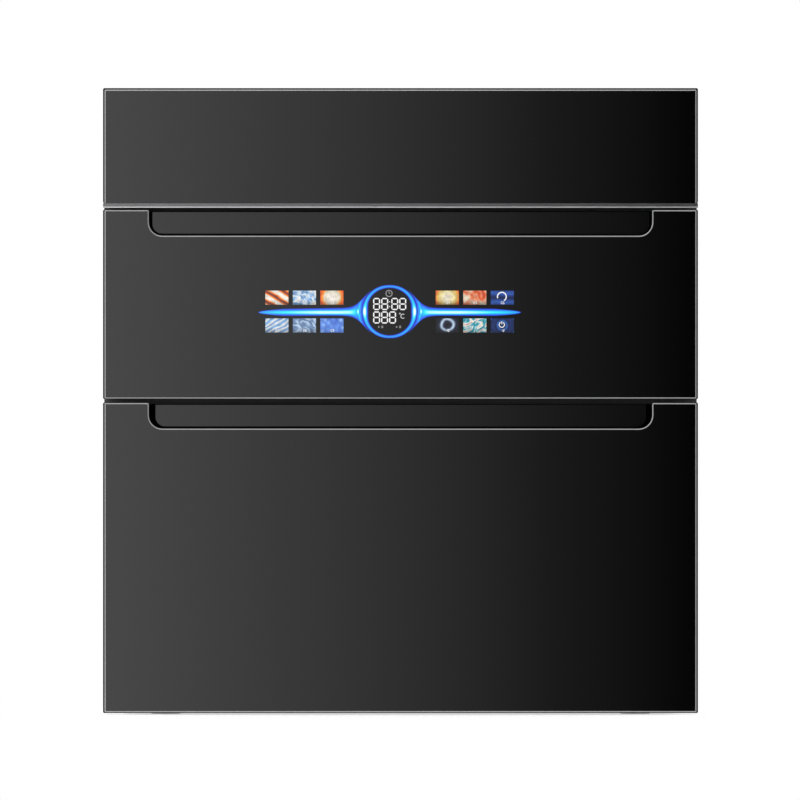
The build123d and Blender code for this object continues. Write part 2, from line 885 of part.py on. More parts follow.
def rear_cover():
    """Back sheet, raised over the blower motor, with louvres and the cable hole."""
    raised = motor_radius + bulge_margin
    louvre_x = -blower_x
    first_louvre_z = blower_z - louvre_pitch * (louvre_count - 1) / 2
    with BuildPart() as cover:
        block((-body_half, body_half), (cover_y, cover_back_y), (body_low, body_top))
        block((blower_x - raised, blower_x + raised), (cover_back_y, overall_depth / 2),
              (blower_z - raised, blower_z + raised))
        inner = raised - shell_sheet
        block(
            (blower_x - inner, blower_x + inner),
            (cover_y, overall_depth / 2 - shell_sheet),
            (blower_z - inner, blower_z + inner),
            Mode.SUBTRACT,
        )
        for i in range(louvre_count):
            low = first_louvre_z + i * louvre_pitch
            block(
                (louvre_x - louvre_width / 2, louvre_x + louvre_width / 2),
                (cover_y, cover_back_y),
                (low, low + louvre_height),
                Mode.SUBTRACT,
            )
        rod_y(gland_x, gland_z, gland_radius + screw_clearance, (cover_y, cover_back_y), Mode.SUBTRACT)
        for side in (-1, 1):
            for z in screw_heights:
                rod_y(side * screw_x, z, screw_radius + screw_clearance,
                      (cover_y, cover_back_y), Mode.SUBTRACT)
    save(cover, "rear_cover")


def chamber_liner(name, drawer, back_y, holes):
    """Inner steel box of one drawer, open to the front, with a flange behind the frame."""
    side = opening_half + liner_sheet
    low = drawer.opening_low - liner_sheet
    top = drawer.opening_top + liner_sheet
    with BuildPart() as liner:
        block((-side, side), (frame_back_y, back_y + liner_sheet), (low, top))
        block(
            (-side - liner_flange, side + liner_flange),
            (frame_back_y, frame_back_y + liner_sheet),
            (low - liner_flange, top + liner_flange),
        )
        block(
            (-opening_half, opening_half),
            (frame_back_y, back_y),
            (drawer.opening_low, drawer.opening_top),
            Mode.SUBTRACT,
        )
        for x, z, radius in holes:
            rod_y(x, z, radius, (back_y, back_y + liner_sheet), Mode.SUBTRACT)
        if drawer is upper:
            for z in slot_heights:
                block((slot_x - slot_width / 2, slot_x + slot_width / 2), (back_y, back_y + liner_sheet),
                      (z - slot_height / 2, z + slot_height / 2), Mode.SUBTRACT)
    save(liner, name)


def mid_insulation():
    """Insulating slab between the two chambers."""
    with BuildPart() as slab:
        block(
            (-opening_half + fit_gap, opening_half - fit_gap),
            (frame_back_y + liner_sheet + rail_front_inset, upper_liner_back_y),
            (lower_opening_top + liner_sheet + fit_gap, upper_opening_low - liner_sheet - fit_gap),
        )
    save(slab, "mid_insulation")


def panel_screws():
    """Pan-head screws that hold the front frame and the rear cover to the side panels."""
    with BuildPart() as screws:
        for side in (-1, 1):
            for z in screw_heights:
                rod_y(side * screw_x, z, screw_radius, (frame_y, frame_y + screw_length))
                rod_y(side * screw_x, z, screw_head_radius, (frame_y - screw_head_height, frame_y))
                rod_y(side * screw_x, z, screw_radius, (cover_back_y - screw_length, cover_back_y))
                rod_y(side * screw_x, z, screw_head_radius, (cover_back_y, cover_back_y + screw_head_height))
    save(screws, "panel_screws")


def foot_places():
    """Centres of the four feet."""
    x = body_half - foot_side_inset
    return [(side * x, y) for side in (-1, 1) for y in (shell_y + foot_front_inset, shell_back_y - foot_rear_inset)]


def rubber_feet():
    """Four round feet under the base pan."""
    with BuildPart() as feet:
        for x, y in foot_places():
            rod([(x, y, foot_height / 2)], foot_radius, foot_height, "z")
        chamfer(feet.edges().group_by(Axis.Z)[0], foot_chamfer)
    save(feet, "rubber_feet")


def cable_gland():
    """Screwed gland for the mains cable, clamped on both faces of the rear cover."""
    with BuildPart() as gland:
        rod_y(gland_x, gland_z, gland_radius, (cover_y - gland_nut_height - gland_tail, cover_back_y))
        for y, height in ((cover_back_y, gland_head_height), (cover_y - gland_nut_height, gland_nut_height)):
            with BuildSketch(front_plane(y + height)):
                with Locations((gland_x, gland_z)):
                    RegularPolygon(gland_head, 6)
            extrude(amount=height)
        rod_y(gland_x, gland_z, gland_bore,
              (cover_y - gland_nut_height - gland_tail, cover_back_y + gland_head_height), Mode.SUBTRACT)
    save(gland, "cable_gland")


# ---------------------------------------------------------------- heaters and lamp
def quartz_heaters():
    """Two straight quartz tubes across the back of the lower chamber."""
    with BuildPart() as tubes:
        for z in heater_rows:
            rod([(0, heater_y, z)], heater_radius, heater_length, "x")
            rod([(0, heater_y, z)], heater_radius - heater_wall, heater_length, "x", Mode.SUBTRACT)
    save(tubes, "quartz_heaters")


def heater_holders():
    """Ceramic blocks on the back wall that hold the ends of both tubes."""
    seat = heater_radius + fit_gap
    inner_x = heater_length / 2 - holder_width
    with BuildPart() as holders:
        for side in (-1, 1):
            for z in heater_rows:
                block(
                    (side * inner_x, side * (inner_x + holder_width + fit_gap)),
                    (heater_y - holder_front, lower_liner_back_y - reflector_sheet),
                    (z - holder_height / 2, z + holder_height / 2),
                )
                rod([(side * (inner_x + (holder_width + fit_gap) / 2), heater_y, z)], seat,
                    holder_width + 2 * fit_gap, "x", Mode.SUBTRACT)
    save(holders, "heater_holders")


def heater_reflector():
    """Bright sheet on the back wall behind the tubes."""
    half = heater_length / 2 + reflector_margin
    with BuildPart() as sheet:
        block(
            (-half, half),
            (lower_liner_back_y - reflector_sheet, lower_liner_back_y),
            (heater_rows[0] - holder_height, heater_rows[-1] + holder_height),
        )
    save(sheet, "heater_reflector")


def heater_guard():
    """Wire guard in front of the tubes, on four standoffs from the back wall."""
    y = heater_y - heater_radius - guard_gap
    half = heater_length / 2 + guard_margin
    low = heater_rows[0] - guard_margin - holder_height / 2
    top = heater_rows[-1] + guard_margin + holder_height / 2
    with BuildPart() as guard:
        rod([(0, y, z) for z in (low, top)], wire_radius, 2 * half + 2 * wire_radius, "x")
        rod([(x, y, (low + top) / 2) for x in evenly(-half, half, wire_pitch)], wire_radius, top - low, "z")
        standoff = lower_liner_back_y - y
        places = [(side * half, y + standoff / 2, z) for side in (-1, 1) for z in (low, top)]
        rod(places, wire_radius, standoff, "y")
    save(guard, "heater_guard")


def uv_lamp():
    """Straight ultraviolet tube at the top of the upper chamber."""
    with BuildPart() as lamp:
        rod([(lamp_x, lamp_y, lamp_z)], lamp_radius, lamp_length, "x")
        chamfer(lamp.edges(), lamp_end_chamfer)
    save(lamp, "uv_lamp")


def uv_lamp_sockets():
    """Two sockets on the back wall that hold the lamp by its ends."""
    with BuildPart() as sockets:
        for side in (-1, 1):
            near = lamp_x + side * lamp_length / 2
            block(
                (near, near + side * socket_length),
                (lamp_y - socket_front, upper_liner_back_y),
                (lamp_z - socket_height / 2, lamp_z + socket_height / 2),
            )
    save(sockets, "uv_lamp_sockets")


# ---------------------------------------------------------------- blower
def blower_housing():
    """Drum with a duct down its side, open to the chamber at the foot of the duct."""
    duct_low = blower_z - duct_length
    inside = (blower_y + blower_wall, blower_back_y - blower_wall)
    with BuildPart() as housing:
        rod_y(blower_x, blower_z, blower_radius, (blower_y, blower_back_y))
        block((duct_x, duct_x + duct_width), (blower_y, blower_back_y), (duct_low, blower_z))
        rod_y(blower_x, blower_z, blower_radius - blower_wall, inside, Mode.SUBTRACT)
        block((duct_x + blower_wall, duct_x + duct_width - blower_wall), inside,
              (duct_low + blower_wall, blower_z), Mode.SUBTRACT)
        block((duct_x + blower_wall, duct_x + duct_width - blower_wall), (blower_y, blower_y + blower_wall),
              (slot_heights[0] - slot_height, slot_heights[-1] + slot_height), Mode.SUBTRACT)
        rod_y(blower_x, blower_z, inlet_radius, (blower_back_y - blower_wall, blower_back_y), Mode.SUBTRACT)
    save(housing, "blower_housing")


def blower_impeller():
    """Impeller: a back disc, a ring of blades, a front ring and a hub on the shaft."""
    disc_y = blower_y + blower_wall + impeller_gap
    end_y = blower_back_y - blower_wall - impeller_gap
    ring_inner = impeller_radius - blade_depth
    with BuildPart() as wheel:
        rod_y(blower_x, blower_z, impeller_radius, (disc_y, disc_y + blade_sheet))
        rod_y(blower_x, blower_z, impeller_radius, (end_y - blade_sheet, end_y))
        rod_y(blower_x, blower_z, ring_inner, (end_y - blade_sheet, end_y), Mode.SUBTRACT)
        rod_y(blower_x, blower_z, hub_radius, (disc_y, end_y - blade_sheet))
        with Locations(Location((blower_x, (disc_y + end_y) / 2, blower_z), (90, 0, 0))):
            with PolarLocations(impeller_radius - blade_depth / 2, impeller_blades):
                Box(blade_depth - 2 * blade_inset, blade_sheet, end_y - disc_y - blade_sheet)
        rod_y(blower_x, blower_z, shaft_radius + shaft_clearance, (disc_y, end_y), Mode.SUBTRACT)
    save(wheel, "blower_impeller")


def blower_motor():
    """Motor behind the drum, held by three arms, with its shaft through the hub."""
    shaft_front = blower_y + blower_wall + impeller_gap
    reach = (inlet_radius + blower_radius) / 2
    with BuildPart() as motor:
        rod_y(blower_x, blower_z, motor_radius, (motor_y, motor_back_y))
        rod_y(blower_x, blower_z, shaft_radius, (shaft_front, motor_y))
        for i in range(3):
            angle = math.radians(90 + 120 * i)
            middle = (motor_radius + reach) / 2
            place = (
                blower_x + middle * math.cos(angle),
                (blower_back_y + motor_y + motor_gap) / 2,
                blower_z + middle * math.sin(angle),
            )
            with Locations(Location(place, (0, -math.degrees(angle), 0))):
                Box(reach - motor_radius + arm_width, motor_y + motor_gap - blower_back_y, arm_width)
    save(motor, "blower_motor")


def ptc_heater():
    """Finned air heater that fills the duct under the drum."""
    left = duct_x + blower_wall + fit_gap
    right = duct_x + duct_width - blower_wall - fit_gap
    low = slot_heights[-1] + slot_height + fit_gap
    front = blower_y + blower_wall + fit_gap
    back = blower_back_y - blower_wall - fit_gap
    top = blower_z - blower_radius
    with BuildPart() as heater:
        block((left, right), (front, front + blade_sheet), (low, top))
        block((left, right), (back - blade_sheet, back), (low, top))
        for i in range(fin_count):
            x = left + (right - left - blade_sheet) * i / (fin_count - 1)
            block((x, x + blade_sheet), (front, back), (low, top))
    save(heater, "ptc_heater")


# ---------------------------------------------------------------- electrics
def ozone_generator():
    """Closed box on the back of the upper chamber with a nozzle into it."""
    low = ozone_z - ozone_height / 2
    y = upper_liner_back_y + liner_sheet
    with BuildPart() as box:
        block((ozone_x - ozone_width / 2, ozone_x + ozone_width / 2), (y, y + ozone_depth), (low, low + ozone_height))
        chamfer(box.faces().sort_by(Axis.Y)[-1].edges(), ozone_chamfer)
        rod_y(ozone_x, ozone_z, nozzle_radius, (upper_liner_back_y - nozzle_radius, y))
    save(box, "ozone_generator")


def temperature_sensors():
    """One probe through the back wall of each chamber."""
    with BuildPart() as probes:
        for back_y, z in ((upper_liner_back_y, upper_probe_z), (lower_liner_back_y, lower_probe_z)):
            rod_y(probe_x, z, probe_radius, (back_y - probe_length, back_y + liner_sheet))
            rod_y(probe_x, z, probe_flange, (back_y + liner_sheet, back_y + liner_sheet + probe_radius))
    save(probes, "temperature_sensors")


def door_switches():
    """Two sealed switches behind the right side panel's flange, one for each door's magnet."""
    with BuildPart() as switches:
        for z in (upper_switch_z, lower_switch_z):
            block(
                (magnet_x - switch_width / 2, magnet_x + switch_width / 2),
                (shell_y, shell_y + switch_depth),
                (z - switch_height / 2, z + switch_height / 2),
            )
    save(switches, "door_switches")


def power_board():
    """Control board on standoffs on top of the upper chamber, with its largest parts."""
    floor = upper_opening_top + liner_sheet
    board_low = floor + standoff_height
    board_top = board_low + board_sheet
    left = power_board_x - power_board_width / 2
    front = power_board_y - power_board_depth / 2
    inset = 2 * standoff_radius
    back = front + power_board_depth
    parts_x = left + part_margin
    parts_y = front + part_margin
    relays_x = parts_x + transformer_width + part_margin
    with BuildPart() as board:
        block((left, left + power_board_width), (front, front + power_board_depth), (board_low, board_top))
        posts = [
            (x, y, floor + standoff_height / 2)
            for x in (left + inset, left + power_board_width - inset)
            for y in (front + inset, front + power_board_depth - inset)
        ]
        rod(posts, standoff_radius, standoff_height, "z")
        block((parts_x, parts_x + transformer_width), (parts_y, parts_y + transformer_depth),
              (board_top, board_top + transformer_height))
        for i in range(relay_count):
            x = relays_x + (relay_width + relay_gap) * i
            block((x, x + relay_width), (parts_y, parts_y + relay_depth), (board_top, board_top + relay_height))
            rod([(x + relay_width / 2, parts_y + relay_depth + capacitor_gap, board_top + capacitor_height / 2)],
                capacitor_radius, capacitor_height, "z")
        block((parts_x, left + power_board_width - part_margin),
              (back - part_margin, back - part_margin + terminal_depth), (board_top, board_top + terminal_height))
    save(board, "power_board")


# ---------------------------------------------------------------- build everything
for drawer in (upper, lower):
    drawer_glass(drawer)
    door_pan(drawer, window=drawer is upper)
    handle_cup(drawer)
    door_liner(drawer)
    gasket(drawer)
    side_brackets(drawer)
    slide_set(drawer)

magnet(upper, upper_switch_z)
magnet(lower, lower_switch_z)
top_glass()
top_panel_frame()
top_trim_strip()
upper_basket()
lower_basket()
bowl_rack()
drip_tray()
light_guide()
touch_pads()
display_board()
front_frame()
side_panel("left_side_panel", -1)
side_panel("right_side_panel", 1)
shell_tray("base_pan", (body_low, body_low + tray_height), True)
shell_tray("top_cover", (body_top - tray_height, body_top), False)
rear_cover()
chamber_liner(
    "upper_liner", upper, upper_liner_back_y,
    [(ozone_x, ozone_z, nozzle_radius + screw_clearance), (probe_x, upper_probe_z, probe_radius + screw_clearance)],
)
chamber_liner("lower_liner", lower, lower_liner_back_y, [(probe_x, lower_probe_z, probe_radius + screw_clearance)])
mid_insulation()
panel_screws()
rubber_feet()
cable_gland()
quartz_heaters()
heater_holders()
heater_reflector()
heater_guard()
uv_lamp()
uv_lamp_sockets()
blower_housing()
blower_impeller()
blower_motor()
ptc_heater()
ozone_generator()
temperature_sensors()
door_switches()
power_board()
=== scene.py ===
# %% [markdown]
# # A dish sterilizer cabinet in black glass
#
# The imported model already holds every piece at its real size. This lesson dresses it:
# each visible surface gets the form and the finish of the real thing, and nothing moves.
# We work in metres, with X to the right, Y to the back and Z up, seen from the front.

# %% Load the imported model
import json
import math

import bpy
import numpy as np
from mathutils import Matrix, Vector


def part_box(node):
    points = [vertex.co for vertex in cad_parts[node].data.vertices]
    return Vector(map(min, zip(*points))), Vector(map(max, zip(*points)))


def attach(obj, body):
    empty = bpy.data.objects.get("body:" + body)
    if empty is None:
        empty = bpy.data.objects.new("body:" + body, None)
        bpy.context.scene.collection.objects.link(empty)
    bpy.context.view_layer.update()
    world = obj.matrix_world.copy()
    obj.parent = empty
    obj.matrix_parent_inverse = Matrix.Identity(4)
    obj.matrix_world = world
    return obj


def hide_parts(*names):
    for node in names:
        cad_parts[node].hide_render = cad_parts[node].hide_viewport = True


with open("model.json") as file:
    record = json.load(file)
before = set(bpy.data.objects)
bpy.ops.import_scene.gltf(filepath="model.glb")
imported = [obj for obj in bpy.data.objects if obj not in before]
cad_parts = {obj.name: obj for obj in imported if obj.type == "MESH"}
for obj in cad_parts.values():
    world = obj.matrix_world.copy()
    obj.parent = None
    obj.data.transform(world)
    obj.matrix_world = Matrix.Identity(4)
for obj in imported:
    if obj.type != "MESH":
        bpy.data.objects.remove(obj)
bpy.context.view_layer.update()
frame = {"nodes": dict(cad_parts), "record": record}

nodes = frame["nodes"]
MM = 0.001

# %% [markdown]
# ## Planes that many pieces share
#
# Every place below is read from the model's own boxes, so the dressing follows the frame.
# The front plane is the face of the glass. The visual glass lies a hair behind it, which
# leaves room for the lit pictures to sit on the face without leaving the model's box.


# %% Read the shared planes
def span(node):
    """Lowest and highest corner of a node as two arrays, in metres."""
    low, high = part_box(node)
    return np.array(low), np.array(high)


glass_setback = 0.15 * MM
print_thickness = 0.08 * MM
face_y = span("upper_glass")[0][1] + glass_setback
print_y = face_y - print_thickness
glass_back = span("upper_glass")[1][1]
print("glass face at", round(face_y, 5), "back at", round(glass_back, 5))

# %% [markdown]
# ## Two ways to make a surface
#
# Almost everything here is a grid of points worked out as one array. A grid has two
# parameters: one runs along the piece, the other round it. Where a grid closes on itself
# its last row joins the first. Flat plates are stacks of loops, one inside the other.


# %% Helpers that turn arrays into meshes
least_radius = 0.15 * MM


def linked(name, data):
    """A new object of the scene that shows a mesh, a light or a camera."""
    thing = bpy.data.objects.new(name, data)
    bpy.context.scene.collection.objects.link(thing)
    return thing


def new_piece(name, points, faces, material, body, smooth=True):
    """Put points (n, 3) and faces into a mesh object at the origin that rides on a body."""
    mesh = bpy.data.meshes.new(name)
    mesh.from_pydata(points.tolist(), [], faces)
    mesh.polygons.foreach_set("use_smooth", np.full(len(mesh.polygons), smooth))
    mesh.validate()
    piece = linked(name, mesh)
    for finish in material if isinstance(material, (list, tuple)) else [material]:
        mesh.materials.append(finish)
    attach(piece, body)
    return piece


def grid_faces(rows, columns, close_rows=False, close_columns=False, start=0):
    """Quads of a grid whose point (i, j) has the index start + i * columns + j."""
    i = np.arange(rows if close_rows else rows - 1)
    j = np.arange(columns if close_columns else columns - 1)
    i, j = np.meshgrid(i, j, indexing="ij")
    below = ((i + 1) % rows) * columns
    right = (j + 1) % columns
    quads = np.stack([i * columns + j, i * columns + right, below + right, below + j], axis=-1)
    return (quads.reshape(-1, 4) + start).tolist()


def join(parts):
    """Join several (points, faces) pairs into one pair."""
    points, faces, start = [], [], 0
    for some_points, some_faces in parts:
        points.append(some_points)
        faces += [[index + start for index in face] for face in some_faces]
        start += len(some_points)
    return np.concatenate(points), faces


def face_groups(piece, groups):
    """Give each face its material number from a list of (count, number)."""
    numbers = np.concatenate([np.full(count, number) for count, number in groups])
    piece.data.polygons.foreach_set("material_index", numbers.astype(np.int32))


# %% [markdown]
# ## Outlines with rounded corners
#
# A pressed or cut plate has corners of a known radius. Offsetting such an outline inwards
# keeps it smooth: an outer corner loses the offset from its radius, an inner corner, such
# as the foot of the grip notch, gains it. Both loops keep the same number of points.


# %% Rounded outlines
def outline(corners, radii, inset=0.0, steps=9):
    """Closed loop (n, 2) round square corners, anticlockwise, drawn in by inset.

    A corner p between unit directions d1 and d2 becomes the quarter arc
    c - r d2 cos(a) + r d1 sin(a), with its centre c = p + r (d2 - d1), a from 0 to 90 degrees.
    """
    p = np.asarray(corners, float)
    d1 = p - np.roll(p, 1, axis=0)
    d1 /= np.linalg.norm(d1, axis=1, keepdims=True)
    d2 = np.roll(d1, -1, axis=0)
    p = p + inset * (np.stack([-d1[:, 1], d1[:, 0]], 1) + np.stack([-d2[:, 1], d2[:, 0]], 1))
    turn = np.sign(d1[:, 0] * d2[:, 1] - d1[:, 1] * d2[:, 0])
    r = np.maximum(np.asarray(radii, float) - turn * inset, least_radius)[:, None, None]
    a = np.linspace(0, math.pi / 2, steps)[None, :, None]
    centre = p[:, None] + r * (d2 - d1)[:, None]
    arc = centre - r * d2[:, None] * np.cos(a) + r * d1[:, None] * np.sin(a)
    return arc.reshape(-1, 2)


def rectangle(x0, x1, z0, z1):
    """Corners of a rectangle, anticlockwise seen from the front."""
    return [(x0, z0), (x1, z0), (x1, z1), (x0, z1)]


def stack(loops, depths, cap_first=True, cap_last=True):
    """Solid from loops of equal length, each at its own depth y, with flat caps."""
    points = np.concatenate([np.column_stack([loop[:, 0], np.full(len(loop), y), loop[:, 1]])
                             for loop, y in zip(loops, depths)])
    count = len(loops[0])
    faces = grid_faces(len(loops), count, close_columns=True)
    if cap_first:
        faces.append(list(range(count))[::-1])
    if cap_last:
        faces.append(list(range(len(points) - count, len(points))))
    return points, faces


# %% [markdown]
# ## Finishes
#
# A finish is a small node tree. The same few steps come back: a noise or a cell pattern on
# object coordinates, stretched where the real surface was brushed or drawn, drives the
# colour a little, the roughness a little and a shallow bump. Values that are the same all
# over sit straight on the shader's own sockets.


# %% A small kit for node trees
NOISE, CELLS, WAVES = "ShaderNodeTexNoise", "ShaderNodeTexVoronoi", "ShaderNodeTexWave"
FULL_WHITE = (1, 1, 1, 1)


def sockets_of(node, **values):
    """Set some of a node's sockets by name and give the node back."""
    for socket, value in values.items():
        node.inputs[socket.replace("_", " ")].default_value = value
    return node


def finish(name, colour, roughness, metallic=0.0, **sockets):
    """A new Principled finish. Returns (material, tree, shader)."""
    material = bpy.data.materials.new(name)
    material.use_nodes = True
    tree = material.node_tree
    shader = sockets_of(tree.nodes["Principled BSDF"], Base_Color=(*colour, 1),
                        Roughness=roughness, Metallic=metallic, **sockets)
    return material, tree, shader


def pattern(tree, kind, scale, stretch=(1, 1, 1), **values):
    """A texture on object coordinates, with its cells stretched along an axis."""
    place = tree.nodes.new("ShaderNodeTexCoord")
    mapping = sockets_of(tree.nodes.new("ShaderNodeMapping"), Scale=stretch)
    texture = sockets_of(tree.nodes.new(kind), Scale=scale, **values)
    tree.links.new(place.outputs["Object"], mapping.inputs["Vector"])
    tree.links.new(mapping.outputs["Vector"], texture.inputs["Vector"])
    return texture


def ramp(tree, source, stops):
    """A colour ramp from a list of (position, colour or grey)."""
    node = tree.nodes.new("ShaderNodeValToRGB")
    while len(node.color_ramp.elements) < len(stops):
        node.color_ramp.elements.new(0.5)
    for element, (position, colour) in zip(node.color_ramp.elements, stops):
        element.position = position
        element.color = (*colour, 1) if isinstance(colour, tuple) else (colour,) * 3 + (1,)
    tree.links.new(source, node.inputs["Fac"])
    return node.outputs["Color"]


def spread(tree, source, low, high):
    """Spread a 0..1 value over low..high."""
    node = sockets_of(tree.nodes.new("ShaderNodeMapRange"), To_Min=low, To_Max=high)
    tree.links.new(source, node.inputs["Value"])
    return node.outputs["Result"]


def bump(tree, shader, source, strength, distance):
    """Shallow relief from a grey value."""
    node = sockets_of(tree.nodes.new("ShaderNodeBump"), Strength=strength, Distance=distance)
    tree.links.new(source, node.inputs["Height"])
    tree.links.new(node.outputs["Normal"], shader.inputs["Normal"])


def textured(name, colours, roughness, scale, stretch=(1, 1, 1), metallic=0.0, relief=0.0,
             depth=0.1 * MM, kind=NOISE, output=0, **sockets):
    """A finish whose pattern moves its colour between two tones, and its roughness too."""
    material, tree, shader = finish(name, colours[0], roughness[0], metallic, **sockets)
    extra = {"Detail": 4.0} if kind == NOISE else {}
    texture = pattern(tree, kind, scale, stretch, **extra)
    value = texture.outputs[output]
    tones = ramp(tree, value, [(0.3, colours[0]), (0.7, colours[1])])
    tree.links.new(tones, shader.inputs["Base Color"])
    tree.links.new(spread(tree, value, *roughness), shader.inputs["Roughness"])
    if relief:
        bump(tree, shader, value, relief, depth)
    return material


# %% [markdown]
# ### Metals, plastics and rubber of the cabinet
#
# Galvanised sheet shows its zinc crystals as small pale cells. Stainless sheet is brushed
# one way. Drawn strip has long fine lines. Powder coat is a fine orange peel, moulded
# plastic an even finer one, and rubber is dull with a soft bloom.

# %% Finishes by material slot
galvanised = textured("zinc_spangle", [(0.5, 0.515, 0.53), (0.6, 0.615, 0.63)], (0.34, 0.44), 130,
                      metallic=0.9, kind=CELLS, output=1)
stainless = textured("brushed_stainless", [(0.5, 0.5, 0.51), (0.66, 0.66, 0.67)], (0.24, 0.38), 60,
                     (0.35, 12, 12), metallic=1.0, relief=0.12)
zinc_strip = textured("zinc_plated_strip", [(0.5, 0.52, 0.55), (0.68, 0.69, 0.71)], (0.22, 0.36),
                      90, (9, 0.5, 9), metallic=1.0, relief=0.08)
# Powder coat painted lighter than the black steel: the extra lightness is painted light, so the door
# gaps show a grey line.
painted_light_frame_coat = textured("frame_powder_coat_painted_light", [(0.07, 0.07, 0.073), (0.1, 0.1, 0.104)], (0.45, 0.6),
                      700, relief=0.25, depth=0.12 * MM)
powder = textured("black_powder_coat", [(0.016, 0.016, 0.018), (0.026, 0.026, 0.029)],
                  (0.42, 0.55), 700, relief=0.25, depth=0.12 * MM)
moulded = textured("fine_black_moulding", [(0.018, 0.018, 0.019), (0.028, 0.028, 0.03)],
                   (0.38, 0.5), 1100, relief=0.2, depth=0.08 * MM)
white_moulding = textured("white_moulding", [(0.72, 0.72, 0.7), (0.8, 0.8, 0.78)], (0.38, 0.5),
                          900, relief=0.12)
rubber = textured("soft_black_rubber", [(0.012, 0.012, 0.012), (0.03, 0.03, 0.031)], (0.6, 0.8),
                  260, relief=0.2)
chrome = textured("polished_wire", [(0.66, 0.67, 0.69), (0.78, 0.79, 0.81)], (0.07, 0.16), 140,
                  metallic=1.0)
bright_zinc = textured("bright_zinc", [(0.6, 0.6, 0.61), (0.76, 0.76, 0.78)], (0.18, 0.32), 300,
                       metallic=1.0)
black_oxide = textured("black_oxide_screw", [(0.03, 0.03, 0.032), (0.06, 0.06, 0.064)],
                       (0.3, 0.45), 300, metallic=0.8)
motor_shell = textured("plated_motor_shell", [(0.36, 0.37, 0.39), (0.5, 0.51, 0.53)], (0.3, 0.42),
                       200, metallic=1.0)
bright_sheet = textured("bright_rolled_sheet", [(0.8, 0.8, 0.81), (0.88, 0.88, 0.89)], (0.1, 0.2),
                        80, (0.3, 8, 8), metallic=1.0)
ceramic = textured("unglazed_ceramic", [(0.74, 0.71, 0.63), (0.84, 0.81, 0.74)], (0.6, 0.75), 350,
                   relief=0.2)
fibre = textured("pale_fibre_board", [(0.6, 0.58, 0.5), (0.8, 0.78, 0.7)], (0.8, 0.95), 220,
                 (1, 1, 4), relief=0.5, depth=0.6 * MM)
board = textured("green_circuit_board", [(0.008, 0.07, 0.03), (0.02, 0.14, 0.06)], (0.25, 0.4),
                 240, kind=CELLS)
quartz = textured("milky_quartz", [(0.78, 0.75, 0.7), (0.88, 0.86, 0.82)], (0.15, 0.3), 120,
                  (0.2, 3, 3))
lamp_glass = textured("lamp_glass", [(0.55, 0.6, 0.75), (0.72, 0.78, 0.9)], (0.05, 0.12), 60,
                      (0.2, 3, 3))
magnet_plate = textured("nickel_plate", [(0.5, 0.49, 0.46), (0.6, 0.59, 0.56)], (0.15, 0.25), 300,
                        metallic=1.0)

finish_of_slot = {
    "pressed_steel": powder, "galvanised_sheet": galvanised, "stainless_sheet": stainless,
    "seal_rubber": rubber, "foot_rubber": rubber, "slide_steel": zinc_strip, "cage_steel": bright_zinc,
    "basket_wire": chrome, "insulation": fibre, "quartz": quartz, "lamp_glass": lamp_glass,
    "holder_ceramic": ceramic, "mirror_sheet": bright_sheet, "blower_plastic": moulded,
    "impeller_plastic": white_moulding, "motor_steel": motor_shell, "fin_metal": bright_sheet,
    "socket_plastic": white_moulding, "circuit_board": board, "magnet_metal": magnet_plate,
    "gland_plastic": moulded, "screw_steel": black_oxide, "cup_plastic": moulded,
}
for part in frame["record"]["subparts"]:
    for place in nodes[part["node"]].material_slots:
        place.material = finish_of_slot.get(part["material_slot"], place.material)
# The front frame gets the lightened coat, painted light for where it shows through the gaps.
for place in nodes["front_frame"].material_slots:
    place.material = painted_light_frame_coat

# %% [markdown]
# ### Black glass
#
# The fronts are tempered glass with black enamel on the back. Seen from the front they are
# a mirror of about four percent, so the long soft fall-off from left to right comes from
# the light in front of them, not from the paint. The edge is ground and polished to a
# bevel, and its pale grey is a painted highlight: it stands in for the light the bevel
# catches from all round, and reads as one bright line. The metal strip covers the foot of
# the top glass, so that edge is left without a bevel.

# %% Finishes of the glass
glass_face, tree, shader = finish("black_glass_face", (0.0016, 0.0016, 0.0017), 0.03, IOR=1.5)
haze = pattern(tree, NOISE, 3.0, Detail=3.0)
tree.links.new(spread(tree, haze.outputs[0], 0.03, 0.06), shader.inputs["Roughness"])
# The bevel's pale grey is a painted highlight, standing in for the light the polished bevel reflects.
painted_highlight_bevel = textured("glass_bevel_painted_highlight", [(0.42, 0.42, 0.425), (0.5, 0.5, 0.505)], (0.3, 0.4),
                      500)
glass_rim = textured("dark_glass_rim", [(0.012, 0.012, 0.012), (0.02, 0.02, 0.02)], (0.7, 0.8),
                     400, Specular_IOR_Level=0.05)
# Near-black with no specular: black moulding plus painted shade for the gap round the pad.
cup_black_painted_shade = textured("black_cup_with_painted_shade", [(0.0008, 0.0008, 0.0008), (0.0016, 0.0016, 0.0016)],
                    (0.85, 0.95), 600, Specular_IOR_Level=0.0)
# Lighter grey on the pad's rounded edge is a painted highlight.
painted_highlight_pad_rim = textured("rounded_pad_rim_painted_highlight", [(0.02, 0.02, 0.02), (0.03, 0.03, 0.03)], (0.3, 0.4), 300)
cup_gloss = textured("smooth_black_pad", [(0.002, 0.002, 0.0022), (0.003, 0.003, 0.0032)],
                     (0.05, 0.1), 30, IOR=1.5)

# %% [markdown]
# ## The glass fronts
#
# One function makes all three. Its profile, from the back edge to the face, is: straight
# wall, a narrow dark arris, then the bevel in a pale painted highlight. The arris is wider
# along the cabinet's outer edges: both sides, the top of the top glass and the foot of the
# lower one. The drawer fronts have the grip notch in their top edge, with a large radius at
# its foot and a small one at its lips.

# %% Build the glass fronts
rim_width = 0.6 * MM
free_edge_extra = 0.95 * MM
foot_edge_extra = 0.3 * MM
rim_depth = 1.6 * MM
bevel_width = 1.05 * MM
bevel_drop = 0.75 * MM
corner = 1.5 * MM
notch_half = 252.0 * MM
notch_depth = 25.6 * MM
notch_radius = 13.0 * MM
lip_radius = 2.0 * MM
edge_reach = 5.0 * MM


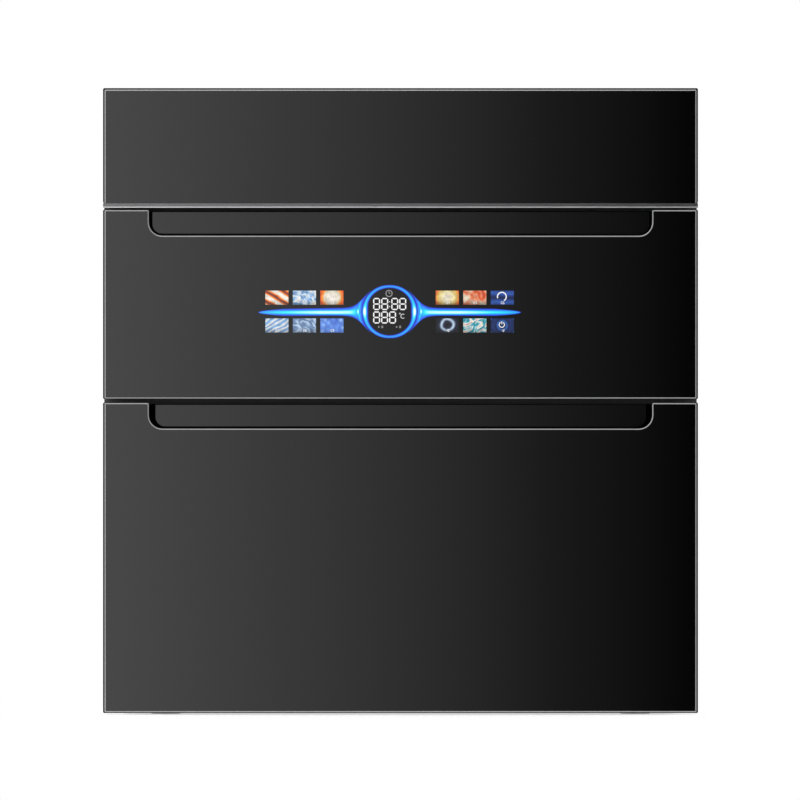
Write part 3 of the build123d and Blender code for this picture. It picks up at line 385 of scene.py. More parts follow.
def glass_corners(low, high, notched):
    """Corners and radii of a front's outline, with or without the notch."""
    x0, x1, z0, z1 = low[0], high[0], low[2], high[2]
    if not notched:
        return rectangle(x0, x1, z0, z1), [corner] * 4
    foot = z1 - notch_depth
    corners = [(x0, z0), (x1, z0), (x1, z1), (notch_half, z1), (notch_half, foot),
               (-notch_half, foot), (-notch_half, z1), (x0, z1)]
    radii = [corner, corner, corner, lip_radius, notch_radius, notch_radius, lip_radius, corner]
    return corners, radii


def glass_front(node, body, notched):
    """Glass as a stack of loops: back edge, arris, start and end of the bevel, then the face."""
    low, high = span(node)
    corners, radii = glass_corners(low, high, notched)
    insets = [0.0, 0.0, rim_width, rim_width + bevel_width]
    depths = [high[1], face_y + rim_depth, face_y + bevel_drop, face_y]
    loops = [outline(corners, radii, inset) for inset in insets]
    top, foot = high[2] - edge_reach, low[2] + edge_reach
    for loop in loops[2:]:
        loop[:, 0] *= 1 - free_edge_extra / high[0]
        if node == "top_glass":
            loop[:, 1] -= np.where(loop[:, 1] > top, free_edge_extra, 0)
        if node == "lower_glass":
            loop[:, 1] += np.where(loop[:, 1] < foot, foot_edge_extra, 0)
    if not notched:
        for loop, inset in zip(loops, insets):
            loop[:, 1] -= np.where(loop[:, 1] < foot, inset, 0)
    points, faces = stack(loops, depths)
    count = len(loops[0])
    # The bevel faces carry the painted highlight finish.
    piece = new_piece(node + "_plate", points, faces, [glass_face, painted_highlight_bevel, glass_rim], body,
                      smooth=False)
    face_groups(piece, [(count, 2), (count, 2), (count, 1), (1, 2), (1, 0)])
    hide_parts(node)
    return piece


top_plate = glass_front("top_glass", "cabinet", False)
upper_plate = glass_front("upper_glass", "upper_drawer", True)
lower_plate = glass_front("lower_glass", "lower_drawer", True)
print("glass faces:", [len(p.data.polygons) for p in (top_plate, upper_plate, lower_plate)])

# %% [markdown]
# ## The recessed grips
#
# Behind each notch sits a moulded cup. Its raised pad almost fills the notch and mirrors the
# light as the glass does. Round the pad the cup is near-black and without gloss: black
# moulding with painted shade on top of it, so the dark gap round the pad draws the grip's
# outline. The pad's rounded edge is painted a little lighter, a painted highlight that
# gives a thin line of light.

# %% Build the cups
cup_wall = 2.0 * MM
cup_radius = 4.0 * MM
cup_setback = 0.2 * MM
pad_side_gap = {"upper": 3.3 * MM, "lower": 6.4 * MM}
pad_low_gap = 1.2 * MM
pad_radius = 10.0 * MM
pad_rise = 4.0 * MM
pad_round = 0.3 * MM
fold = 0.6 * MM


def grip_cup(drawer):
    """Cup as one folded skin: outer wall, rim, inner wall, floor, then the pad on the floor."""
    low, high = span(drawer + "_handle_cup")
    foot = span(drawer + "_glass")[1][2] - notch_depth
    rim_y, floor_y = low[1] + cup_setback, high[1] - cup_wall
    outer = rectangle(low[0], high[0], low[2], high[2])
    inner = rectangle(low[0] + cup_wall, high[0] - cup_wall, low[2] + cup_wall, high[2] - fold)
    radii = [cup_radius, cup_radius, fold, fold]
    wall, hollow, floor = outline(outer, radii), outline(inner, radii), outline(inner, radii, fold)
    shell = stack([wall, wall, hollow, hollow, floor],
                  [high[1], rim_y, rim_y, floor_y - fold, floor_y])
    side = notch_half - pad_side_gap[drawer]
    pad = rectangle(-side, side, foot + pad_low_gap, high[2] - pad_round)
    pad_radii = [pad_radius, pad_radius, MM, MM]
    top_y = floor_y - pad_rise
    rows = [outline(pad, pad_radii), outline(pad, pad_radii), outline(pad, pad_radii, fold)]
    raised = stack(rows, [floor_y + pad_round, top_y + pad_round, top_y])
    piece = new_piece(drawer + "_grip_cup", *join([shell, raised]),
                      [cup_black_painted_shade, cup_gloss, painted_highlight_pad_rim], drawer + "_drawer", smooth=False)
    count = len(rows[0])
    # The shell carries painted shade, the pad's rim a painted highlight, and the pad face gloss.
    face_groups(piece, [(len(shell[1]) + count, 0), (count, 2), (1, 0), (1, 1)])
    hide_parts(drawer + "_handle_cup")
    return piece


grips = [grip_cup(drawer) for drawer in ("upper", "lower")]
print("cups:", [g.name for g in grips])

# %% [markdown]
# ## The metal strip under the top glass
#
# A drawn strip shows two bands: a flat one, and below it a rounded lip. Both are the same
# drawn metal, painted in two copies: the flat band darker, as painted shade, and the lip
# bright, as a painted highlight that gives the thin bright line. Its profile is carried
# along X in one go.

# %% Build the trim strip
# One drawn metal in two painted copies: a darker one as painted shade, a bright one as painted
# highlight.
painted_shade_strip_metal = textured("drawn_strip_painted_shade", [(0.13, 0.13, 0.135), (0.2, 0.2, 0.205)],
                       (0.22, 0.32), 160, (0.2, 14, 14), metallic=1.0, relief=0.1)
painted_highlight_lip_metal = textured("drawn_lip_painted_highlight", [(0.6, 0.6, 0.61), (0.74, 0.74, 0.75)], (0.26, 0.36), 160,
                     (0.2, 14, 14), metallic=1.0, relief=0.06)
lip_height = 1.35 * MM
lip_setback = 0.2 * MM
band_setback = 0.9 * MM
strip_sheet = 0.8 * MM


def profile_bar(name, profile, x_ends, finishes, body):
    """Solid whose closed profile (n, 2) of (y, z) runs straight along X between two ends."""
    count = len(profile)
    rows = [np.column_stack([np.full(count, x), profile]) for x in x_ends]
    faces = grid_faces(2, count, close_columns=True)
    faces += [list(range(count)), list(range(count, 2 * count))[::-1]]
    return new_piece(name, np.concatenate(rows), faces, finishes, body, smooth=False)


low, high = span("top_trim_strip")
lip_y = low[1] + lip_setback
band_y = lip_y + band_setback
lip_top, sheet_top = low[2] + lip_height, low[2] + strip_sheet
arc = np.linspace(-math.pi / 2, math.pi / 2, 9)
lip = np.column_stack([lip_y + lip_height / 2 * (1 - np.cos(arc)),
                       low[2] + lip_height / 2 * (1 + np.sin(arc))])
band = np.array([(band_y, lip_top), (band_y, high[2] - lip_setback),
                 (band_y + lip_setback, high[2]), (glass_back, high[2]), (glass_back, sheet_top),
                 (high[1], sheet_top), (high[1], low[2])])
strip = profile_bar("trim_strip", np.concatenate([lip, band]), (low[0], high[0]),
                    [painted_shade_strip_metal, painted_highlight_lip_metal], "cabinet")
lip_faces = len(lip) - 1
# The lip faces get the painted highlight, the rest of the strip the painted shade.
face_groups(strip, [(lip_faces, 1), (len(strip.data.polygons) - lip_faces, 0)])
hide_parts("top_trim_strip")
print("strip profile points:", len(lip) + len(band))

# %% [markdown]
# ## The display: light from a formula
#
# The ring and its two wings glow from behind the glass: white at the hottest spots, then
# cyan, then blue, with a deep blue edge. We give every point one number, its heat, and a
# ramp in the finish turns heat into colour. The shapes are grids: one parameter along the
# ring or wing, the other across it.

# %% The glow finish
display_x = -10.9 * MM
display_rise = 87.5 * MM
display_z = span("upper_glass")[0][2] + display_rise
marks_x = display_x + 0.45 * MM


def lit(name, stops):
    """A finish whose emission is a ramp over the mesh's own heat values, under gloss."""
    material, tree, shader = finish(name, (0.001, 0.001, 0.002), 0.06, Emission_Strength=1.0)
    heat = tree.nodes.new("ShaderNodeAttribute")
    heat.attribute_name = "glow_level"
    tree.links.new(ramp(tree, heat.outputs["Fac"], stops), shader.inputs["Emission Color"])
    return material


glow = lit("blue_glow", [
    (0.0, (0.001, 0.002, 0.012)), (0.14, (0.015, 0.04, 0.45)), (0.3, (0.03, 0.1, 1.0)),
    (0.48, (0.025, 0.29, 0.92)), (0.66, (0.02, 0.48, 1.0)), (0.8, (0.04, 0.95, 1.0)),
    (0.93, (0.55, 1.0, 1.0)), (1.0, (1.0, 1.0, 1.0))])

# %% Ring and wings, in millimetres from the display's middle
ring_inner, ring_outer = 23.5, 26.7
ring_swell_in, ring_swell_out = 2.2, 1.0
hot_spot = 25.5
flare_inner = 27.8
wing_start, wing_tip = 16.5, 131.5

# Each profile along a wing: places, then the values there.
SINK = ([28, 40, 60, 115], [0.0, 0.25, 0.3, 0.8])
CORE_LEVEL = ([27, 30, 34, 36, 40, 50, 70, 85, 100, 112, 122, 128, 131.5],
              [0.08, 0.18, 0.42, 0.52, 0.62, 0.65, 0.66, 0.6, 0.52, 0.45, 0.36, 0.25, 0.1])
CORE_WIDTH = ([27, 34, 36, 40, 50, 70, 100, 131.5], [6.5, 5.0, 3.6, 2.5, 2.2, 2.1, 1.85, 1.8])
CORE_DROP = ([30, 38, 50], [0.2, 0.6, 0.75])


def bell(value, centre, width):
    """A smooth hill: exp(-((value - centre) / width) squared)."""
    return np.exp(-(((value - centre) / width) ** 2))


def front_patch(name, x, z, heat, finishes):
    """A thin printed patch on the glass from grids of x and z; heat is None where none glows."""
    points = np.stack([display_x + x * MM, np.full(x.shape, print_y), display_z + z * MM], axis=-1)
    faces = grid_faces(*x.shape)
    a, b, c = points[0, 0], points[0, 1], points[1, 0]
    if np.cross(b - a, c - a)[1] > 0:
        faces = [face[::-1] for face in faces]
    piece = new_piece(name, points.reshape(-1, 3), faces, finishes, "upper_drawer")
    if heat is not None:
        layer = piece.data.attributes.new("glow_level", "FLOAT", "POINT")
        layer.data.foreach_set("value", heat.astype(np.float32).ravel())
    return piece


def ring_patch():
    """Ring that widens towards its two sides, where it bulges both ways round a hot spot."""
    angle, across = np.meshgrid(np.linspace(0, 2 * math.pi, 241), np.linspace(0, 1, 19),
                                indexing="ij")
    sideways = np.abs(np.cos(angle))
    inner = ring_inner - ring_swell_in * bell(ring_inner * np.sin(angle), 0, 9.0)
    outer = ring_outer + ring_swell_out * sideways
    radius = inner + (outer - inner) * across
    x, z = radius * np.cos(angle), radius * np.sin(angle)
    edge = np.clip(across / 0.25, 0, 1) * np.clip((1 - across) / 0.22, 0, 1)
    level = 0.37 + 0.2 * sideways ** 1.5
    spot = (0.34 * bell(np.abs(x), hot_spot, 1.7) * bell(z, 0, 4.4)
            + 0.12 * bell(np.abs(x), hot_spot, 3.0) * bell(z, 0, 9.0))
    heat = 0.16 + edge * (level * bell(across, 0.52, 0.34) + spot) - 0.08 * (1 - edge)
    return front_patch("display_ring", x, z, heat, glow)


def wing_edge(x):
    """Half height of a wing: a blunt long taper plus a flare that swells towards the ring."""
    taper = 3.6 * np.clip((wing_tip - x) / 26, 0, 1) ** 0.5 + 0.3 * np.clip((103 - x) / 50, 0, 1)
    return taper + 18.5 * bell(x, 14.85, 14.5)


def wing_patch(side, up):
    """One quarter of the wings, from the ring's circle or the middle line out to the edge.

    The middle line sinks a little on the way out. A bright core runs along it: flat on top
    and steep at its sides, exp(-(distance / width) cubed). Near the ring the core widens and
    dims, and one arc of light follows the circle, with a second small hot spot.
    """
    run = np.linspace(0, 1, 181) ** 1.5
    along, across = np.meshgrid(wing_start + (wing_tip - wing_start) * run, np.linspace(0, 1, 25),
                                indexing="ij")
    inner = np.sqrt(np.maximum(flare_inner ** 2 - along ** 2, 0))
    outer = np.maximum(wing_edge(along), inner + 0.02)
    height = inner + (outer - inner) * across
    z = up * height - np.interp(along, *SINK)
    radius = np.hypot(along, height)
    core_z = -np.interp(along, *CORE_DROP)
    core = np.exp(-(np.abs(z - core_z) / np.interp(along, *CORE_WIDTH)) ** 3)
    arc = 0.34 * bell(radius, 30.6, 1.1) * np.clip(np.abs(z) / 5, 0, 1)
    spot = 0.45 * bell(along, 31.5, 0.9) * bell(z, 0, 2.2)
    edge = np.clip((outer - height) / np.where(along > 40, 0.9, 1.5), 0, 1)
    seam = 0.12 * bell(radius, flare_inner, 0.5)
    heat = 0.1 + edge * (0.2 + np.interp(along, *CORE_LEVEL) * core + arc + spot) - seam
    name = "display_wing_%s_%s" % ("lr"[side > 0], "du"[up > 0])
    return front_patch(name, side * along, z, heat, glow)


ring = ring_patch()
wings = [wing_patch(side, up) for side in (-1, 1) for up in (-1, 1)]
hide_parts("light_guide")
print("ring points:", len(ring.data.vertices))

# %% [markdown]
# ## Digits and small signs
#
# The display shows seven-segment digits. A segment is a bar with pointed ends, and one array
# holds all the lit ones. Every number on the panel, large or small, is made by the same
# function at its own height.

# %% Seven-segment digits
SEGMENTS = {"0": "abcdef", "1": "bc", "2": "abged", "3": "abgcd", "4": "fgbc", "5": "afgcd",
            "6": "afgedc", "7": "abc", "8": "abcdefg", "9": "abcdfg"}


def bars(ends, width):
    """Pointed bars from their end points (n, 2, 2): six corners each, as points and faces."""
    ends = np.asarray(ends, float)
    along = ends[:, 1] - ends[:, 0]
    along /= np.linalg.norm(along, axis=1, keepdims=True)
    side = np.stack([-along[:, 1], along[:, 0]], 1) * width / 2
    tip = along * width / 2
    corners = np.stack([ends[:, 0], ends[:, 0] + tip - side, ends[:, 1] - tip - side,
                        ends[:, 1], ends[:, 1] - tip + side, ends[:, 0] + tip + side], axis=1)
    return corners.reshape(-1, 2), np.arange(len(ends) * 6).reshape(-1, 6).tolist()


def digit_bars(text, x, z, height, pitch):
    """End points of every lit segment of a number whose lower left corner is (x, z)."""
    width, gap = height * 0.53, height * 0.035
    top, middle, foot = height, height / 2, 0.0
    ends = {
        "a": ((gap, top), (width - gap, top)), "g": ((gap, middle), (width - gap, middle)),
        "d": ((gap, foot), (width - gap, foot)), "f": ((0, middle + gap), (0, top - gap)),
        "b": ((width, middle + gap), (width, top - gap)), "e": ((0, foot + gap), (0, middle - gap)),
        "c": ((width, foot + gap), (width, middle - gap)),
    }
    return np.array([np.array(ends[segment]) + (x + i * pitch, z)
                     for i, digit in enumerate(text) for segment in SEGMENTS[digit]])


def flat_piece(name, corners, faces, material, y=print_y):
    """Flat printed piece from (x, z) corners in millimetres from the display's middle."""
    points = np.column_stack([marks_x + corners[:, 0] * MM, np.full(len(corners), y),
                              display_z + corners[:, 1] * MM])
    piece = new_piece(name, points, faces, material, "upper_drawer", smooth=False)
    return piece


def mark_light(name, low, high):
    """White light whose strength drifts a little between two values."""
    material, tree, shader = finish(name, (0.05, 0.05, 0.05), 0.3, Emission_Color=FULL_WHITE)
    drift = pattern(tree, NOISE, 900)
    tree.links.new(spread(tree, drift.outputs[0], low, high), shader.inputs["Emission Strength"])
    return material


white_light = mark_light("white_digit_light", 0.88, 0.98)
soft_light_mark = mark_light("soft_sign_light", 0.5, 0.62)
grey_light = mark_light("grey_sign_light", 0.22, 0.3)

digit_height, digit_pitch, hours_pitch = 10.9, 7.95, 8.1
digits_left, minutes_left = -16.3, 1.85
clock_foot, lower_foot = 2.15, -11.3
dots_x, dot_half = -0.4, 0.6
clock = np.concatenate([digit_bars("88", digits_left, clock_foot, digit_height, hours_pitch),
                        digit_bars("88", minutes_left, clock_foot, digit_height, digit_pitch),
                        digit_bars("888", digits_left, lower_foot, digit_height, digit_pitch)])
dots = np.array([[(dots_x, z - dot_half), (dots_x, z + dot_half)] for z in (4.9, 9.9)])
flat_piece("display_digits", *bars(np.concatenate([clock, dots]), 1.2), white_light)


# %% Small signs: a dial, pluses, pairs of bars, a degree sign and a C
def arc_band(x, z, radius, width, start, end, steps=25):
    """A flat arc between two angles in degrees, as a grid of two rows."""
    angle = np.radians(np.linspace(start, end, steps))
    rows = [np.column_stack([x + r * np.cos(angle), z + r * np.sin(angle)])
            for r in (radius - width / 2, radius + width / 2)]
    return np.concatenate(rows), [face[::-1] for face in grid_faces(2, steps)]


dial_x, dial_z = -1.0, 18.1
signs = [arc_band(dial_x, dial_z, 3.1, 0.9, 0, 360, 41),
         bars([[(dial_x, dial_z), (dial_x, 20.2)]], 0.7),
         bars([[(dial_x, dial_z), (0.6, dial_z)]], 0.7)]
for x in (-9.6, 8.2):
    plus = [[(x - 2.6, -15.4), (x - 0.6, -15.4)], [(x - 1.6, -16.4), (x - 1.6, -14.2)]]
    pair = [[(x + 0.6, -14.6), (x + 3.0, -14.6)], [(x + 0.6, -16.0), (x + 3.0, -16.0)]]
    signs += [bars(plus, 0.8), bars(pair, 0.9)]
flat_piece("display_signs", *join(signs), grey_light)
degree = [arc_band(9.9, -2.0, 0.6, 0.5, 0, 360, 17), arc_band(12.9, -4.6, 2.1, 0.8, 50, 310, 31)]
flat_piece("display_degree", *join(degree), soft_light_mark)
print("digit segments:", len(clock), "signs:", len(signs) + len(degree))

# %% [markdown]
# ## Twelve lit keys
#
# Each key is a small picture behind the glass. Ours are plain patterns worked out from
# waves, rings, cells and clouds, each with its own colours, and a number at the foot. The
# key's own UV map runs from 0 to 1 both ways, so one small node tree serves all of them.

# %% Key patterns, in millimetres
key_width, key_height, key_pitch, key_start, key_row_gap = 23.1, 14.1, 27.5, 46.15, 13.7
TEXTURE_OF = {"bands": WAVES, "rings": WAVES, "cells": CELLS, "clouds": NOISE}
MIX_FIRST, MIX_SECOND, MIX_RESULT = 6, 7, 2  # the colour sockets of a mix node


def key_finish(name, kind, stops, scale, turn, distortion, foot_shade):
    """A pattern over the key's UV, with a fine grain, dimmed towards its foot."""
    material, tree, shader = finish(name, (0.01, 0.01, 0.012), 0.07, Emission_Strength=1.0)
    uv = tree.nodes.new("ShaderNodeTexCoord")
    mapping = tree.nodes.new("ShaderNodeMapping")
    mapping.vector_type = "TEXTURE"
    sockets_of(mapping, Location=(0.5, 0.5, 0), Rotation=(0, 0, math.radians(turn)),
               Scale=(1, key_width / key_height, 1))
    tree.links.new(uv.outputs["UV"], mapping.inputs["Vector"])
    texture = sockets_of(tree.nodes.new(TEXTURE_OF[kind]), Scale=scale)
    if kind == "rings":
        texture.wave_type = "RINGS"
        texture.rings_direction = "Z"
    if kind != "cells":
        sockets_of(texture, Distortion=distortion, Detail=3.0)
    grain = sockets_of(tree.nodes.new(NOISE), Scale=5.5, Detail=5.0)
    for node in (texture, grain):
        tree.links.new(mapping.outputs["Vector"], node.inputs["Vector"])
    split = tree.nodes.new("ShaderNodeSeparateXYZ")
    tree.links.new(uv.outputs["UV"], split.inputs["Vector"])
    colour = ramp(tree, texture.outputs["Fac" if kind in ("bands", "rings") else 0], stops)
    for shade in (ramp(tree, grain.outputs[0], [(0.35, 0.7), (0.6, 1.05)]),
                  ramp(tree, split.outputs["Y"], [(0.0, foot_shade), (0.36, 1.0)])):
        mix = tree.nodes.new("ShaderNodeMix")
        mix.data_type = "RGBA"
        mix.blend_type = "MULTIPLY"
        sockets_of(mix, Factor=1.0)
        tree.links.new(colour, mix.inputs[MIX_FIRST])
        tree.links.new(shade, mix.inputs[MIX_SECOND])
        colour = mix.outputs[MIX_RESULT]
    tree.links.new(colour, shader.inputs["Emission Color"])
    return material


ORANGE, FLAME, RED, CREAM = (0.9, 0.12, 0.01), (1.0, 0.38, 0.05), (0.6, 0.02, 0.02), (0.8, 0.73, 0.58)
WHITE, ICE, SKY, STEEL = (0.95, 0.88, 0.8), (0.55, 0.72, 0.9), (0.16, 0.36, 0.68), (0.1, 0.17, 0.32)
NIGHT, TEAL, BLACK = (0.006, 0.016, 0.08), (0.03, 0.42, 0.52), (0.004, 0.005, 0.01)
key_styles = [
    ("bands", [(0.0, (0.12, 0.03, 0.015)), (0.25, ORANGE), (0.55, FLAME), (0.8, WHITE)],
     0.62, 52, 3.4, 0.5),
    ("clouds", [(0.34, STEEL), (0.42, SKY), (0.5, ICE), (0.62, WHITE)], 2.6, 30, 1.6, 0.5),
    ("rings", [(0.0, WHITE), (0.5, CREAM), (0.7, CREAM), (0.86, FLAME), (1.0, ORANGE)],
     0.3, 0, 0.8, 0.45),
    ("rings", [(0.0, CREAM), (0.4, (0.9, 0.78, 0.4)), (0.75, (0.75, 0.5, 0.12)), (1.0, ORANGE)],
     0.26, 0, 0.9, 0.3),
    ("clouds", [(0.3, RED), (0.42, (0.8, 0.16, 0.05)), (0.52, (0.8, 0.4, 0.25)), (0.64, CREAM)],
     2.0, 20, 1.0, 0.35),
    ("bands", [(0.0, NIGHT), (0.5, (0.015, 0.05, 0.26)), (1.0, (0.03, 0.1, 0.42))],
     0.5, 90, 0.8, 0.8),
    ("bands", [(0.0, SKY), (0.35, ICE), (0.7, WHITE), (1.0, SKY)], 0.7, -38, 5.0, 0.4),
    ("clouds", [(0.36, STEEL), (0.48, (0.2, 0.32, 0.55)), (0.58, ICE), (0.7, (0.3, 0.4, 0.6))],
     2.4, 45, 2.0, 0.45),
    ("cells", [(0.0, (0.4, 0.62, 1.0)), (0.35, (0.14, 0.32, 0.85)), (0.9, (0.06, 0.16, 0.7))],
     5.0, 0, 0.0, 0.7),
    ("rings", [(0.0, BLACK), (0.74, (0.015, 0.022, 0.05)), (0.95, (0.26, 0.32, 0.45)), (1.0, ICE)],
     0.62, 0, 2.6, 0.5),
    ("clouds", [(0.34, (0.02, 0.16, 0.26)), (0.44, TEAL), (0.54, WHITE), (0.62, (0.6, 0.38, 0.3)),
                (0.72, TEAL)], 2.2, -20, 2.0, 0.5),
    ("rings", [(0.0, (0.01, 0.03, 0.14)), (0.75, NIGHT), (1.0, (0.03, 0.12, 0.42))],
     0.8, 0, 0.0, 0.6),
]


# %% Build the keys and their numbers
def key_places():
    """Middles of the keys in millimetres from the display's middle, upper row first."""
    rise = (key_row_gap + key_height) / 2
    left = [-(key_start + key_width / 2 + i * key_pitch) for i in (2, 1, 0)]
    right = [key_start + key_width / 2 + i * key_pitch for i in range(3)]
    return [(x, up * rise) for up in (1, -1) for x in left + right]


for number, ((x, z), style) in enumerate(zip(key_places(), key_styles), 1):
    u, v = np.meshgrid(np.linspace(0, 1, 5), np.linspace(0, 1, 4), indexing="ij")
    key = front_patch("key_%02d" % number, x + (u - 0.5) * key_width, z + (v - 0.5) * key_height,
                      None, key_finish("key_pattern_%02d" % number, *style))
    layer = key.data.uv_layers.new(name="UVMap")
    loops = np.zeros(len(key.data.loops), np.int32)
    key.data.loops.foreach_get("vertex_index", loops)
    places = np.stack([u.ravel()[loops], v.ravel()[loops]], 1).astype(np.float32)
    layer.data.foreach_set("uv", places.ravel())
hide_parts("touch_pads")

numeral_height, numeral_pitch, numeral_left, numeral_rise = 2.2, 2.0, 1.6, 0.9
marks_y = print_y - 0.03 * MM
number_bars = [digit_bars("%02d" % n, x - numeral_left, z - key_height / 2 + numeral_rise,
                          numeral_height, numeral_pitch)
               for n, (x, z) in enumerate(key_places(), 1)]
flat_piece("key_numbers", *bars(np.concatenate(number_bars), 0.42), white_light, y=marks_y)

timer_x, timer_z = np.add(key_places()[5], (-0.9, 0.0))
power_x, power_z = np.add(key_places()[11], (-0.9, 0.0))
rings = [arc_band(timer_x, timer_z + 1.0, 4.4, 1.1, -60, 200, 41),
         arc_band(power_x, power_z + 0.8, 2.6, 0.8, -240, 60, 31),
         bars([[(power_x, power_z + 1.2), (power_x, power_z + 4.4)]], 0.8)]
flat_piece("key_rings", *join(rings), white_light, y=marks_y)

# %% [markdown]
# ## Wire baskets
#
# A basket is bent from round wire: a stout rim and foot frame with rounded corners, thin
# uprights, and a floor of long wires on tie bars. One function sweeps a circle along a
# closed rounded loop; another makes many straight wires at once, as one array of circles.

# %% Sweeping round wire
def ring_wire(x_half, y0, y1, z, bend, radius, sides=10, steps=8):
    """Closed wire round a rectangle with bent corners: a circle carried along the loop."""
    loop = outline(rectangle(-x_half, x_half, y0, y1), [bend] * 4, steps=steps)
    ahead = np.roll(loop, -1, 0) - np.roll(loop, 1, 0)
    ahead /= np.linalg.norm(ahead, axis=1, keepdims=True)
    out = np.column_stack([ahead[:, 1], -ahead[:, 0]])
    turn = np.linspace(0, 2 * math.pi, sides, endpoint=False)
    points = np.concatenate([loop, np.full((len(loop), 1), z)], 1)[:, None] + radius * (
        np.cos(turn)[None, :, None] * np.concatenate([out, np.zeros((len(loop), 1))], 1)[:, None]
        + np.sin(turn)[None, :, None] * np.array([0, 0, 1.0]))
    faces = grid_faces(len(loop), sides, close_rows=True, close_columns=True)
    return points.reshape(-1, 3), [face[::-1] for face in faces]


def straight_wires(starts, ends, radius, sides=8):
    """Many straight wires at once: a ring of points at each end, plus flat end caps."""
    starts, ends = np.atleast_2d(starts).astype(float), np.atleast_2d(ends).astype(float)
    along = ends - starts
    along /= np.linalg.norm(along, axis=1, keepdims=True)
    helper = np.where(np.abs(along[:, 2:3]) > 0.9, [[1.0, 0, 0]], [[0, 0, 1.0]])
    side = np.cross(along, helper)
    side /= np.linalg.norm(side, axis=1, keepdims=True)
    other = np.cross(along, side)
    turn = np.linspace(0, 2 * math.pi, sides, endpoint=False)[None, :, None]
    circle = radius * (np.cos(turn) * side[:, None] + np.sin(turn) * other[:, None])
    points = np.stack([starts[:, None] + circle, ends[:, None] + circle], axis=1).reshape(-1, 3)
    base = np.arange(len(starts))[:, None] * 2 * sides
    quads = np.array(grid_faces(2, sides, close_columns=True))[None] + base[:, :, None]
    caps = [list(range(sides))[::-1], list(range(sides, 2 * sides))]
    faces = [face[::-1] for face in quads.reshape(-1, 4).tolist()]
    faces += [[i + b for i in cap[::-1]] for b in base.ravel().tolist() for cap in caps]
    return points, faces


def evenly(low, high, pitch):
    """Places from low to high, both ends included, about one pitch apart."""
    return np.linspace(low, high, max(1, round((high - low) / pitch)) + 1)


# %% Baskets
rim_wire, thin_wire, tie_wire, wire_bend = 2.0 * MM, 1.2 * MM, 1.5 * MM, 9.0 * MM
wire_pitch, weld_sink, loop_overhang = 19.0 * MM, 0.5 * MM, 2.0 * MM


def places_of(x, y, z):
    """Points (n, 3) from coordinates of which some are single numbers."""
    return np.column_stack(np.broadcast_arrays(x, y, z))


def basket(node, body, floor_z, rim_z, legs_to=None, loops=None):
    """Rim, foot frame, floor wires on ties, uprights, and legs or plate loops where given."""
    low, high = span(node)
    x_half = high[0] - rim_wire
    y0, y1 = low[1] + rim_wire, high[1] - rim_wire
    frame_z = floor_z + rim_wire
    parts = [ring_wire(x_half, y0, y1, z, wire_bend, rim_wire) for z in (rim_z, frame_z)]
    xs = evenly(-x_half, x_half, wire_pitch)[1:-1]
    ys = evenly(y0, y1, wire_pitch)[1:-1]
    floor, tie_z = frame_z + weld_sink, frame_z - weld_sink
    parts.append(straight_wires(places_of(xs, y0, floor), places_of(xs, y1, floor), thin_wire))
    for x, y in ((xs, y0), (xs, y1), (-x_half, ys), (x_half, ys)):
        parts.append(straight_wires(places_of(x, y, frame_z), places_of(x, y, rim_z), thin_wire))
    ties = np.linspace(y0, y1, 5)[1:-1]
    parts.append(straight_wires(places_of(-x_half, ties, tie_z), places_of(x_half, ties, tie_z),
                                tie_wire))
    middle = (y0 + y1) / 2
    if legs_to is not None:
        reach = (y1 - y0) / 2 - 4 * rim_wire
        x = np.array([-x_half, -x_half, x_half, x_half])
        y = middle + reach * np.array([-1, 1, -1, 1])
        parts.append(straight_wires(places_of(x, y, legs_to), places_of(x, y, frame_z), rim_wire))
    if loops is not None:
        height, length = loops
        plate_x = xs[1::2]
        top = frame_z + height
        for y in (middle - length / 2, middle + length / 2):
            parts.append(straight_wires(places_of(plate_x, y, frame_z),
                                        places_of(plate_x, y, top), thin_wire))
        half = length / 2 + loop_overhang
        parts.append(straight_wires(places_of(plate_x, middle - half, top),
                                    places_of(plate_x, middle + half, top), tie_wire))
    piece = new_piece(node + "_wires", *join(parts), chrome, body)
    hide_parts(node)
    return piece


upper_low, upper_high = span("upper_basket")
lower_low, lower_high = span("lower_basket")
rack_low, rack_high = span("bowl_rack")
cup_basket = basket("upper_basket", "upper_drawer", upper_low[2], upper_high[2] - rim_wire)
plate_loops = (54 * MM, 150 * MM)
plate_basket = basket("lower_basket", "lower_drawer", lower_low[2], lower_high[2] - rim_wire,
                      loops=plate_loops)
rack_depth = 42 * MM
bowl_basket = basket("bowl_rack", "lower_drawer", rack_high[2] - rack_depth,
                     rack_high[2] - rim_wire, legs_to=rack_low[2])
print("basket points:", [len(p.data.vertices) for p in (cup_basket, plate_basket, bowl_basket)])

# %% [markdown]
# ## Seals
#
# A door seal is an extruded rubber bulb. Its round-topped profile runs round the opening, so
# it is a stack of rectangular loops with small corners that step inwards.

# %% Build the seals
gasket_width = 7.0 * MM
gasket_foot = 0.6 * MM
gasket_corner = 1.0 * MM


def seal(drawer):
    """Round-backed seal: loops at insets along a half ellipse from the door to the frame."""
    node = drawer + "_gasket"
    low, high = span(node)
    corners = rectangle(low[0], high[0], low[2], high[2])
    turn = np.linspace(0, math.pi, 13)
    insets = gasket_width / 2 * (1 - np.cos(turn))
    base = low[1] + gasket_foot
    depths = base + (high[1] - low[1] - gasket_foot) * np.sin(turn) ** 0.7
    insets = np.concatenate([[0.0], insets, [gasket_width]])
    depths = np.concatenate([[low[1]], depths, [low[1]]])
    loops = [outline(corners, [gasket_corner] * 4, inset, steps=3) for inset in insets]
    points, _ = stack(loops, depths, False, False)
    faces = grid_faces(len(loops), len(loops[0]), close_rows=True, close_columns=True)
    piece = new_piece(node + "_bulb", points, [face[::-1] for face in faces], rubber,
                      drawer + "_drawer")
    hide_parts(node)
    return piece


seals = [seal(drawer) for drawer in ("upper", "lower")]
print("seal points:", len(seals[0].data.vertices))

